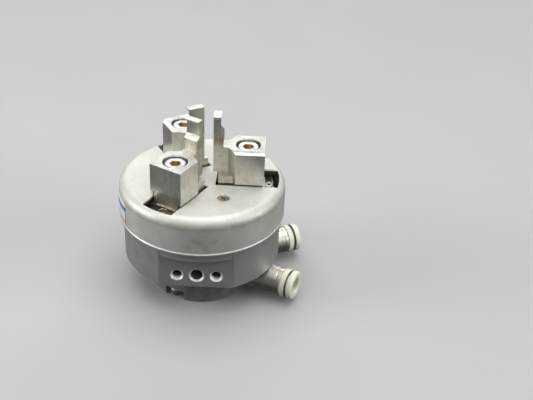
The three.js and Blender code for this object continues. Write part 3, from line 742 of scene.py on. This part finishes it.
# ---- boss
BOSS_HIGH = span("boss")[1]
BOSS_R = BOSS_HIGH.y
BOSS_TOP = BOSS_HIGH.z
CHAMBER = (11, 3.6)
PLUG_SEAT = (6, 1.25)
JOURNAL_BORE = 4.05
NOTCH = Sizes(start=10.9, half=2.95, top=2.95)
BASE_TAP = Sizes(r=1.25, at=9, depth=2.6)
PORT_ANGLE = 0.419
PORT_Z = sum(corner.z for corner in span("port_gasket_front")) / 2
PORT_SEAT = 14.05
PORT_SPOT_R = 3.95
PORT_TAP_R = 2.13
PORT_GASKET_R = 3.3
FITTING_ANGLES = {"front": -PORT_ANGLE, "back": PORT_ANGLE}


def boss():
    profile = [
        (PLUG_SEAT[0], 0), (BOSS_R - 0.35, 0), (BOSS_R, 0.35), (BOSS_R, BOSS_TOP), (CHAMBER[0], BOSS_TOP),
        CHAMBER, (JOURNAL_BORE, CHAMBER[1]), (JOURNAL_BORE, PLUG_SEAT[1]), PLUG_SEAT,
    ]
    shell = turned(profile, BIG)
    paint(shell, EDGE, lambda c, n: c.z < 0.35 and -0.9 < n.z < -0.3)
    notch = box(NOTCH.start, BOSS_R + PAST, -NOTCH.half, NOTCH.half, -PAST, NOTCH.top)
    screw = rod(BASE_SCREW.shank + CLEAR, NOTCH.top - PAST, BOSS_TOP + PAST)
    tap_r = BASE_TAP.r
    tap = paint(turned([
        (0, -PAST), (tap_r + 0.4, -PAST), (tap_r + 0.4, 0), (tap_r, 0.4),
        *threaded(tap_r + THREAD_DEPTH, 0.5, 2.3), (0, BASE_TAP.depth),
    ], SMALL), EDGE)
    ports = []
    for angle in FITTING_ANGLES.values():
        spot = along_x(rod(PORT_SPOT_R, PORT_SEAT, BOSS_R + PAST, MID))
        tapping = along_x(rod(PORT_TAP_R, CHAMBER[0] - PAST, PORT_SEAT + 0.5))
        ports += [spin(shift(part, z=PORT_Z), angle) for part in (paint(spot, EDGE), tapping)]
    turn = BASE_SCREW.turn
    cut(shell, *around(notch, turn), *around(shift(screw, BASE_SCREW.at), turn),
        *around(shift(tap, BASE_TAP.at), BETWEEN))
    cut(shell, *ports)
    finish_piece(clean(shell), "boss", TURNED_SHADED, BARE_EDGE)


def boss_small_parts():
    plug_high = span("boss_plug")[1]
    plug_r = plug_high.x
    plug = turned([
        (0, 0), (plug_r - 2.3, 0), (plug_r - 2.1, 0.25), (plug_r - 1.8, 0.25), (plug_r - 1.6, 0),
        (plug_r - 0.2, 0), (plug_r, 0.2), (plug_r, plug_high.z), (0, plug_high.z),
    ])
    finish_piece(plug, "boss_plug", TURNED_SHADED)
    gasket_low, gasket_high = span("chamber_gasket")
    gasket = turned(ring_section(CHAMBER[0] + 0.1, gasket_high.x, gasket_low.z, gasket_high.z, 0.08))
    hole = shift(rod(BASE_SCREW.shank + CLEAR, BOSS_TOP - PAST, BODY_BOTTOM + PAST), BASE_SCREW.at)
    holes = around(hole, BASE_SCREW.turn)
    finish_piece(clean(cut(gasket, *holes)), "chamber_gasket", RUBBER)


# ---- screws
def screw_sizes(node, shank, across, deep, upside_down=False):
    """The place and sizes of a cap screw whose head and tip the frame gives, at station a."""
    low, high = span(node)
    centre = ((low + high) / 2).xy
    return Sizes(
        at=centre.length, turn=atan2(centre.y, centre.x), head=(high.y - low.y) / 2,
        low=low.z, high=high.z, tip=high.z if upside_down else low.z,
        shank=shank, across=across, deep=deep,
    )


BASE_SCREW = screw_sizes("base_screw_a", 1.0, 1.5, 1.0, upside_down=True)
GUIDE_SCREW = screw_sizes("guide_screw_a", 0.8, 0.9, 0.5)
JAW_SCREW = screw_sizes("jaw_screw_a", 1.5, 2.5, 1.6)
JAW_SCREW.head *= 1.08  # the photographed heads nearly fill their counterbores
CAM_SCREW = screw_sizes("cam_screw", 1.0, 1.5, 0.8)
BASE_HEAD, GUIDE_HEAD, JAW_HEAD, CAM_HEAD = 2.0, 0.95, 3.0, 1.3  # how tall the screw heads are


def cap_screw(sizes, head_tall, knurls=36):
    """A socket cap screw, its head's top at zero: knurled side, rounded rim, hexagon socket, thread."""
    head = sizes.head
    shank = sizes.shank
    length = sizes.high - sizes.low
    rim = 0.13 * head
    grip = [(head, -head_tall + 0.25), (head, -rim * 1.3)] if knurls else []
    blank = turned([
        (0, -length), (shank - 0.2, -length), *threaded(shank, -length + 0.15, -head_tall - 0.5),
        (shank, -head_tall - 0.3), (shank, -head_tall), (head - 0.2, -head_tall), *grip,
        (head - 0.3 * rim, -0.5 * rim), (head - rim, 0), (0, 0),
    ], knurls * 2 if knurls else SMALL)
    if knurls:
        groove = 0.045 * head
        for point in blank.data.vertices:
            reach = hypot(point.co.x, point.co.y)
            side = round(atan2(point.co.y, point.co.x) / pi * knurls)
            if side % 2 and reach > head - 0.01 and point.co.z < -rim:
                point.co.x *= 1 - groove / reach
                point.co.y *= 1 - groove / reach
    hexagon = arc(sizes.across / sqrt(3), 0, 5 * pi / 3, 5)
    flare = 1.13
    socket = stacked([
        [(x * 0.35, y * 0.35, -sizes.deep - 0.25) for x, y in hexagon],
        [(x, y, -sizes.deep) for x, y in hexagon],
        [(x, y, -0.12) for x, y in hexagon],
        [(x * flare, y * flare, 0.01) for x, y in hexagon],
        [(x * flare, y * flare, PAST) for x, y in hexagon],
    ])
    return clean(cut(blank, paint(socket, DEEP)))


def screws():
    base = moved(cap_screw(BASE_SCREW, BASE_HEAD, 24), Matrix.Rotation(pi, 4, "X"))
    finish_three(shift(base, BASE_SCREW.at, z=BASE_SCREW.low), "base_screw", DULL, DULL, RECESS,
                 start=BASE_SCREW.turn)
    guide = shift(cap_screw(GUIDE_SCREW, GUIDE_HEAD, 0), GUIDE_SCREW.at, z=GUIDE_SCREW.high)
    for i, finger in enumerate(FINGERS):
        # screw c takes the dark oiled steel: painted shade for the dark end of its slot
        finish = DARK_STEEL if finger == "c" else WORN_SCREW
        finish_piece(copied(guide, i * TURN), "guide_screw_" + finger, finish, finish, RECESS)
    bpy.data.objects.remove(guide)
    jaw = cap_screw(JAW_SCREW, JAW_HEAD)
    finish_three(shift(jaw, JAW_SCREW.at, z=JAW_SCREW.high), "jaw_screw", BRIGHT, BRIGHT, RECESS)
    cam = cap_screw(CAM_SCREW, CAM_HEAD, 24)
    finish_piece(shift(cam, z=CAM_SCREW.high), "cam_screw", BRIGHT, BRIGHT, RECESS)


# ---- guide plate and rails
CHANNEL_HALF = 4.55
CHANNEL_END = 16.7
CHANNEL_FLOOR = 25
GUIDE_UNDER = 23.6  # underside of the channels' floor, above the cam disc
GUIDE_BORE = 3
GUIDE_SKIRT = 16.4
PIN_LOW, PIN_HIGH = span("drive_pin_a")
PIN_AT = (PIN_LOW.x + PIN_HIGH.x) / 2
PIN_R = (PIN_HIGH.x - PIN_LOW.x) / 2
STROKE = 2.985
RAIL_LOW, RAIL_HIGH = span("rail_a_left")


def guide_plate():
    radius = PLATE_HIGH.x
    plate = turned([
        (GUIDE_BORE, GUIDE_UNDER), (GUIDE_SKIRT, GUIDE_UNDER), (GUIDE_SKIRT, SEAM), (radius - 0.1, SEAM),
        (radius, SEAM + 0.1), (radius, PLATE_TOP - 0.15), (radius - 0.15, PLATE_TOP),
        (GUIDE_BORE, PLATE_TOP),
    ], BIG)
    channel = box(0, CHANNEL_END, -CHANNEL_HALF, CHANNEL_HALF, CHANNEL_FLOOR, PLATE_TOP + PAST)
    half = PIN_R + 0.1
    reach = PIN_AT + STROKE
    pin_slot = prism(arc(half, -pi / 2, pi / 2, 16, (reach, 0))
                     + arc(half, pi / 2, 3 * pi / 2, 16, (PIN_AT, 0)),
                     GUIDE_UNDER - PAST, CHANNEL_FLOOR + PAST)
    head = GUIDE_SCREW.head + CLEAR
    sunk = GUIDE_SCREW.high - GUIDE_HEAD
    screw_hole = turned([
        (0, SEAM - PAST), (GUIDE_SCREW.shank + CLEAR, SEAM - PAST), (GUIDE_SCREW.shank + CLEAR, sunk),
        (head, sunk), (head, PLATE_TOP + PAST), (0, PLATE_TOP + PAST),
    ], SMALL)
    tap = rod(COVER_SCREW.shank + TIGHT, COVER_SCREW.low - SPARE, PLATE_TOP + PAST)
    cut(plate, *around(channel), *around(pin_slot), *around(shift(screw_hole, GUIDE_SCREW.at)),
        *around(shift(tap, COVER_SCREW.at), BETWEEN))
    finish_piece(soften(plate, 0.08, 1), "guide_plate", PLATE_STEEL_SHADED, BARE_EDGE)


def rails():
    """Ground rails whose inner face carries the groove for the keel's tongue."""
    inner, outer = 2.7, 4.5
    groove, groove_low, groove_high = 3.6, 26.9, 28.3
    low, high = RAIL_LOW.z, PLATE_TOP
    edge = 0.12
    section = rounded([
        (inner, low, edge), (outer, low, edge), (outer, high, edge), (inner, high, edge),
        (inner, groove_high, edge), (groove, groove_high), (groove, groove_low), (inner, groove_low, edge),
    ], 2)
    for i, finger in enumerate(FINGERS):
        for name, side in (("left", 1), ("right", -1)):
            outline = section if side == 1 else flipped(section)
            rail = soften(bar(outline, RAIL_LOW.x, RAIL_HIGH.x), 0.06, 1, 60)
            finish_piece(spin(rail, i * TURN), f"rail_{finger}_{name}", DARK_STEEL, BARE_EDGE)


# ---- fingers and jaws
FINGER_LOW, FINGER_HIGH = span("finger_a")
FINGER_FLOOR = 30.2
KEEL = Sizes(start=5, end=13.4, half=2.6, tongue=3.5, low=27, high=28.2)
LEDGE = Sizes(out=0.4, half=2.9, tall=0.45)  # the step at the foot of a finger's outer end
JAW_LOW, JAW_HIGH = span("jaw_a")
JAW = Sizes(
    outer=JAW_HIGH.x, inner=9, half=JAW_HIGH.y, neck=6.93, neck_half=2.05, tip=JAW_LOW.x,
    lip=JAW_LOW.z, channel=3.88, top=42.1, prong_floor=34.5, floor_end=4.6, thick=5.67,
    shoulder=(45.5, 46.4), cap_low=50.3, cap_top=JAW_HIGH.z, cap_lip=5,
    bore=1.65, counterbore=3.33, seat=JAW_SCREW.high - JAW_HEAD,
)
# What differs from jaw to jaw: the bevel on one top edge (side, width, depth), the cut outer corner, the
# stem's thickness and how far the cap stands out at the stem's two sides.
JAW_VARIANTS = {
    "a": ((-1, 1.3, 0.55), 0, 4.77, (0.1, 0)),
    "b": ((1, 0.75, 0.3), 1.4, 4.2, (0, 0.3)),
    "c": (None, 0, 4.15, (0.85, 0.1)),
}


def fingers():
    """Sliding T-keel fingers with a tapped hole for the jaw screw and a reamed hole for the drive pin."""
    half, tongue = KEEL.half, KEEL.tongue
    side = [
        (half - 0.15, FINGER_LOW.z), (half, FINGER_LOW.z + 0.15), (half, KEEL.low),
        (tongue - 0.1, KEEL.low), (tongue, KEEL.low + 0.1), (tongue, KEEL.high - 0.1),
        (tongue - 0.1, KEEL.high), (half, KEEL.high), (half, FINGER_FLOOR + PAST),
    ]
    keel = bar(side + flipped(side), KEEL.start, KEEL.end)
    slab = box(FINGER_LOW.x, FINGER_HIGH.x, -FINGER_HIGH.y, FINGER_HIGH.y, FINGER_FLOOR, FINGER_HIGH.z)
    half, out, tall = LEDGE.half, FINGER_HIGH.x + LEDGE.out, LEDGE.tall
    ledge = box(out - 0.7, out, -half, half, FINGER_FLOOR, FINGER_FLOOR + tall)
    finger = join(slab, keel, paint(ledge, DEEP))
    tap = rod(JAW_SCREW.shank + 0.03, JAW_SCREW.low - 0.02, FINGER_HIGH.z + PAST)
    bore = rod(PIN_R + TIGHT, FINGER_LOW.z - PAST, PIN_HIGH.z + CLEAR)
    cut(finger, shift(tap, JAW_SCREW.at), shift(bore, PIN_AT))
    soften(finger, 0.1, 2)
    pin = shift(turned([
        (0, PIN_LOW.z), (PIN_R - 0.2, PIN_LOW.z), (PIN_R, PIN_LOW.z + 0.2), (PIN_R, PIN_HIGH.z - 0.2),
        (PIN_R - 0.2, PIN_HIGH.z), (0, PIN_HIGH.z),
    ]), PIN_AT)
    for i, name in enumerate(FINGERS):
        steel = milled("finger_steel_" + name, (0.8, 0.76, 0.64), (0.62, 0.58, 0.48), i * TURN,
                       stretch=(0.05, 1, 1), oil=0.45)
        finish_piece(copied(finger, i * TURN), "finger_" + name, steel, BARE_EDGE, OILY_LEDGE)
    bpy.data.objects.remove(finger)
    finish_three(pin, "drive_pin", DARK_STEEL)


def jaw(bevel, corner, thin, cap_sides):
    outer, inner, half = JAW.outer, JAW.inner, JAW.half
    neck, neck_half, tip, top = JAW.neck, JAW.neck_half, JAW.tip, JAW.top
    cut_corner = [(outer, half - corner), (outer - corner, half)] if corner else [(outer, half)]
    plan = rounded([
        (tip, -neck_half), (neck, -neck_half), (inner, -half), (outer, -half), *cut_corner,
        (inner, half), (neck, neck_half), (tip, neck_half),
    ])
    shoulder_low, shoulder_high = JAW.shoulder
    stem = [
        (tip, top - PAST), (JAW.thick, top - PAST), (JAW.thick, shoulder_low), (thin, shoulder_high),
        (thin, JAW.cap_low + 0.1), (tip, JAW.cap_low + 0.1),
    ]
    prong = cross_bar(stem, -neck_half, neck_half)
    cap = box(tip, JAW.cap_lip, -neck_half - cap_sides[0], neck_half + cap_sides[1], JAW.cap_low,
              JAW.cap_top)
    blank = prism(plan, JAW.lip, top)
    # the upward faces take the darker top colour: painted shade
    for part in (blank, cap):
        paint(part, DEEP, lambda c, n: n.z > 0.9)
    block = join(blank, prong, cap)
    finger_top = FINGER_HIGH.z
    channel = box(0, outer + PAST, -JAW.channel, JAW.channel, JAW.lip - PAST, finger_top)
    under_prong = box(0, JAW.floor_end, -half, half, JAW.lip - PAST, JAW.prong_floor)
    bore = shift(rod(JAW.bore, finger_top - PAST, top), JAW_SCREW.at)
    sink = shift(rod(JAW.counterbore, JAW.seat, top + PAST, MID), JAW_SCREW.at)
    cut(block, channel, under_prong, bore, sink)
    if bevel:
        side, inward, down = bevel
        section = [(half - inward, top), (half + PAST, top - down * (1 + PAST / inward)),
                   (half + PAST, top + PAST), (half - inward, top + PAST)]
        outline = section if side == 1 else flipped(section)
        cut(block, paint(bar(outline, neck, outer + PAST), EDGE))
    return soften(block, 0.13, 2)


def jaws():
    for i, name in enumerate(FINGERS):
        block = spin(jaw(*JAW_VARIANTS[name]), i * TURN)
        steel = milled("jaw_steel_" + name, (0.8, 0.78, 0.71), (0.7, 0.675, 0.6), i * TURN, oil=0.4,
                       handled=(JAW.top + 0.1, JAW.shoulder[0]))
        finish_piece(block, "jaw_" + name, steel, BARE_EDGE, GROUND_TOP_SHADED)


# ---- rotor and cam, inside
ROTOR_LOW, ROTOR_HIGH = span("vane_rotor")
HUB = Sizes(r=5, low=CHAMBER[1] + 0.1, high=8.95)
JOURNAL_R = 2.5
SQUARE_HALF = 1.9
CAM_LOW, CAM_HIGH = span("cam_disc")
PASSAGES = ((0.42, 5.2), (1.15, 7.4))  # angle and height of the holes that join opposite chambers
PASSAGE_R = 0.7
STOPPER = Sizes(inner=5.15, half=0.26)
VANE_ANGLE = pi / 4
VANE = Sizes(half=0.21, r=10.4, seal=10.93, root=9.33, seal_half=0.48)
CAM_SLOT_HALF = 1.3
CAM_SQUARE_HALF = 1.95
CAM_RISE = STROKE / (pi / 2)  # outward travel of a finger per radian of rotor travel
CAM_OVERRUN = 0.03


def rotor():
    shaft = turned([
        (0, ROTOR_LOW.z), (JOURNAL_R - 0.3, ROTOR_LOW.z), (JOURNAL_R, ROTOR_LOW.z + 0.3),
        (JOURNAL_R, HUB.low), (HUB.r, HUB.low), (HUB.r, HUB.high), (SHAFT_R, HUB.high),
        (SHAFT_R, CAM_LOW.z), (0, CAM_LOW.z),
    ])
    corners = [(x, y, 0.2) for x, y in square(SQUARE_HALF)]
    drive = prism(rounded(corners), CAM_LOW.z - PAST, ROTOR_HIGH.z)
    vane = spin(sector(HUB.r - PAST, VANE.r, VANE.half, HUB.low, HUB.high), VANE_ANGLE)
    gap = VANE.seal_half + TIGHT
    seal_slot = spin(box(VANE.root - TIGHT, VANE.seal + PAST, -gap, gap, HUB.low - PAST,
                         HUB.high + PAST), VANE_ANGLE)
    passages = [spin(shift(along_x(rod(PASSAGE_R, -HUB.r - PAST, HUB.r + PAST)), z=z), angle)
                for angle, z in PASSAGES]
    tap = rod(CAM_SCREW.shank + TIGHT, CAM_SCREW.low - SPARE, ROTOR_HIGH.z + PAST)
    join(shaft, drive, *around(vane, count=2))
    cut(shaft, *around(seal_slot, count=2), *passages, tap)
    finish_piece(soften(shaft, 0.08, 1), "vane_rotor", ROTOR_STEEL, BARE_EDGE)
    for i, name in enumerate(("vane_seal_a", "vane_seal_b")):
        half = VANE.seal_half
        seal = prism(rounded([(VANE.root, -half), (VANE.seal, -half, 0.3), (VANE.seal, half, 0.3),
                              (VANE.root, half)]), HUB.low, HUB.high)
        finish_piece(spin(soften(seal, 0.06, 1, 50), VANE_ANGLE + i * pi), name, RUBBER, RUBBER)
    low, high = span("stopper_a")
    for i, name in enumerate(("stopper_a", "stopper_b")):
        wall = soften(sector(STOPPER.inner, high.x, STOPPER.half, low.z, high.z), 0.08, 1)
        finish_piece(spin(wall, i * pi), name, ANODISED_GREY, BARE_EDGE)


def spiral_slot():
    """A cam slot whose radius grows evenly with angle, so equal turns give equal strokes."""
    steps = 40
    first, last = -CAM_OVERRUN, pi / 2 + CAM_OVERRUN
    sides = {1: [], -1: []}
    for i in range(steps + 1):
        turn = first + (last - first) * i / steps
        reach = PIN_AT + CAM_RISE * turn
        centre = Vector((cos(-turn), sin(-turn))) * reach
        ahead = Vector((cos(-turn), sin(-turn))) * CAM_RISE
        ahead += Vector((sin(-turn), -cos(-turn))) * reach
        across = Vector((-ahead.y, ahead.x)).normalized() * CAM_SLOT_HALF
        for side, points in sides.items():
            points.append(tuple(centre + side * across))
    ends = []
    for turn in (first, last):
        end = shift(rod(CAM_SLOT_HALF, CAM_LOW.z - PAST, CAM_HIGH.z + PAST), PIN_AT + CAM_RISE * turn)
        ends.append(spin(end, -turn))
    outline = sides[1] + sides[-1][::-1]
    return join(prism(outline, CAM_LOW.z - PAST, CAM_HIGH.z + PAST), *ends)


def cam():
    disc = turned(rounded([(0, CAM_LOW.z), (CAM_HIGH.x, CAM_LOW.z, 0.2), (CAM_HIGH.x, CAM_HIGH.z, 0.2),
                           (0, CAM_HIGH.z)], 2), BIG)
    hole = prism(square(CAM_SQUARE_HALF), CAM_LOW.z - PAST, CAM_HIGH.z + PAST)
    cut(disc, *around(spiral_slot()), hole)
    finish_piece(clean(disc), "cam_disc", DARK_STEEL, BARE_EDGE)


def bearings():
    for node, inner, finish in (("lower_bush", JOURNAL_R, BRONZE), ("lower_shaft_seal", JOURNAL_R, RUBBER),
                                ("upper_shaft_seal", SHAFT_R, RUBBER), ("upper_bush", SHAFT_R, BRONZE)):
        low, high = span(node)
        finish_piece(turned(ring_section(inner + CLEAR, high.x, low.z, high.z)), node, finish)


# ---- push-in fittings
BARREL = Sizes(
    tip=11.3, stub=2.08, seat=14.65, r=3.75, end=25.5, bore=1.1, tube=2.05,
    tube_stop=16, cavity=3, cavity_from=18.8, seal=(18.85, 20.35), collet=(20.45, 22.6),
)
COLLAR = Sizes(sleeve=22.7, start=25.55, to=27.05, inner=2.62, r=3.95)
BUTTON = Sizes(sleeve=23.2, start=27.7, to=29.2, neck=2.52, r=3.95)


def fitting_parts():
    """Each piece of a fitting as a profile along its own axis, measured from the gripper's axis."""
    b, c, u = BARREL, COLLAR, BUTTON
    sleeve = b.cavity - CLEAR
    groove_r = b.r - 0.12
    barrel = rounded([
        (b.bore, b.tip), (b.stub - 0.2, b.tip), (b.stub, b.tip + 0.2), (b.stub, b.seat),
        (b.r, b.seat, 0.35), (b.r, b.end - 1.5, 0.05), (groove_r, b.end - 1.4, 0.05),
        (groove_r, b.end - 1.15, 0.05), (b.r, b.end - 1.05, 0.05), (b.r, b.end, 0.18),
        (b.cavity, b.end, 0.1), (b.cavity, b.cavity_from), (b.tube, b.cavity_from),
        (b.tube, b.tube_stop), (b.bore, b.tube_stop),
    ])
    collar = rounded([
        (c.inner, c.sleeve), (sleeve, c.sleeve), (sleeve, c.start), (c.r, c.start, 0.2),
        (c.r, c.to, 0.25), (c.inner, c.to, 0.12),
    ])
    button = rounded([
        (b.tube, u.sleeve), (u.neck, u.sleeve), (u.neck, u.start),
        (u.r, u.start, 0.18), (u.r, u.to, 0.42), (b.tube, u.to, 0.35),
    ], 5)
    gasket = ring_section(b.stub + CLEAR, PORT_GASKET_R, PORT_SEAT + TIGHT, b.seat - TIGHT)
    return {
        "fitting_body": (barrel, nickel_plating()), "fitting_collar": (collar, CREAM),
        "release_button": (button, CREAM), "port_gasket": (gasket, RUBBER),
        "tube_seal": (ring_section(2.0, sleeve, *b.seal), RUBBER),
        "collet": (ring_section(2.1, sleeve - CLEAR, *b.collet), BRIGHT),
    }


def nickel_plating():
    """Satin nickel, painted darker brown on its lower side: a painted reflection of the dark surface
    below, and painted shade.
    """
    made = plated("nickel_plating", (0.86, 0.83, 0.76), (0.7, 0.66, 0.58), 0.32)
    shader, tone, height = layered(made)
    # below the axis the tone turns darker brown: painted reflection and shade
    film = ramp(height, (PORT_Z + 0.9) * MM, (PORT_Z - 0.3) * MM, 0, 0.75)
    fill(shader, Base_Color=blended(film, tone, (0.34, 0.25, 0.17)))
    return made


def fittings():
    for name, (profile, finish) in fitting_parts().items():
        part = turned(profile)
        # the faces in the gap between collar and button take grime and painted shade
        paint(part, DEEP, lambda c, n: COLLAR.to - 0.02 < c.z < BUTTON.start + 0.02)
        part = shift(along_x(part), z=PORT_Z)
        for side, angle in FITTING_ANGLES.items():
            finish_piece(copied(part, angle), f"{name}_{side}", finish, BARE_EDGE, GAP_GRIME_SHADED)
        bpy.data.objects.remove(part)


cover()
cover_screws()
label()
body()
boss()
boss_small_parts()
screws()
guide_plate()
rails()
fingers()
jaws()
rotor()
cam()
bearings()
fittings()


# ---- floor, light and camera
BACKDROP = (0.6, 0.6, 0.61)
MIDDLE = (0, 0, 0.025)


def floor():
    """A plain pale sheet, 6 m wide, that throws no light back on the metal and fades into the backdrop."""
    sheet = solid([(x, y, 0) for x, y in square(3)], [(0, 1, 2, 3)])
    sheet.name = "floor"
    made, place, shader = material("floor")
    tone = blended(noise(place, 60, 2), (0.46, 0.46, 0.465), (0.43, 0.43, 0.435))
    away = add(place.id_data, "VectorMath", {0: place}, operation="LENGTH").outputs["Value"]
    far = ramp(away, 0.3, 0.6)
    fill(shader, Base_Color=blended(far, tone, (0, 0, 0)), Roughness=0.75,
         Specular_IOR_Level=0, Emission_Color=BACKDROP, Emission_Strength=far)
    sheet.data.materials.clear()
    sheet.data.materials.append(made)
    sheet.visible_diffuse = False
    sheet.visible_glossy = False


def softbox(name, at, width, height, power):
    """A rectangular lamp aimed at the gripper's middle."""
    data = bpy.data.lights.new(name, "AREA")
    data.shape = "RECTANGLE"
    data.size = width
    data.size_y = height
    data.energy = power
    lamp = bpy.data.objects.new(name, data)
    bpy.context.scene.collection.objects.link(lamp)
    lamp.location = at
    lamp.rotation_mode = "QUATERNION"
    lamp.rotation_quaternion = (Vector(MIDDLE) - Vector(at)).to_track_quat("-Z", "Y")


def surroundings():
    """A dim room, palest overhead, for reflections; the camera itself sees an even backdrop."""
    world = bpy.data.worlds.new("room")
    bpy.context.scene.world = world
    world.use_nodes = True
    tree = world.node_tree
    tree.nodes.clear()
    up = upward(add(tree, "TexCoord").outputs["Generated"])
    above = blended(ramp(up, 0.02, 0.75), (0.052, 0.052, 0.052), (0.16, 0.16, 0.157))
    room = blended(ramp(up, -0.06, 0.02), (0.08, 0.08, 0.083), above)
    seen = add(tree, "LightPath").outputs["Is Camera Ray"]
    tone = blended(seen, room, BACKDROP)
    add(tree, "OutputWorld", {"Surface": add(tree, "Background", {"Color": tone}).outputs[0]})


def camera():
    data = bpy.data.cameras.new("camera")
    data.lens = 62.72
    data.clip_start = 0.01
    eye = bpy.data.objects.new("camera", data)
    bpy.context.scene.collection.objects.link(eye)
    down, roll = radians(32.517), radians(2.555)
    at = Vector((17.546, -214.398, COVER_TOP + 129.707)) * MM
    eye.matrix_world = (Matrix.Translation(at) @ Matrix.Rotation(pi / 2 - down, 4, "X")
                        @ Matrix.Rotation(roll, 4, "Z"))
    bpy.context.scene.camera = eye


floor()
surroundings()
softbox("overhead", (0, 0.05, 0.6), 0.7, 0.5, 3.2)
softbox("front", (0.05, -0.35, 0.5), 0.6, 0.3, 0.8)
softbox("back", (0, 0.6, 0.35), 0.9, 0.3, 1.75)
softbox("left", (-0.6, -0.1, 0.2), 0.3, 0.4, 2.8)
softbox("right", (0.55, -0.15, 0.2), 0.3, 0.4, 1.65)
camera()
bpy.context.scene.view_settings.view_transform = "Standard"
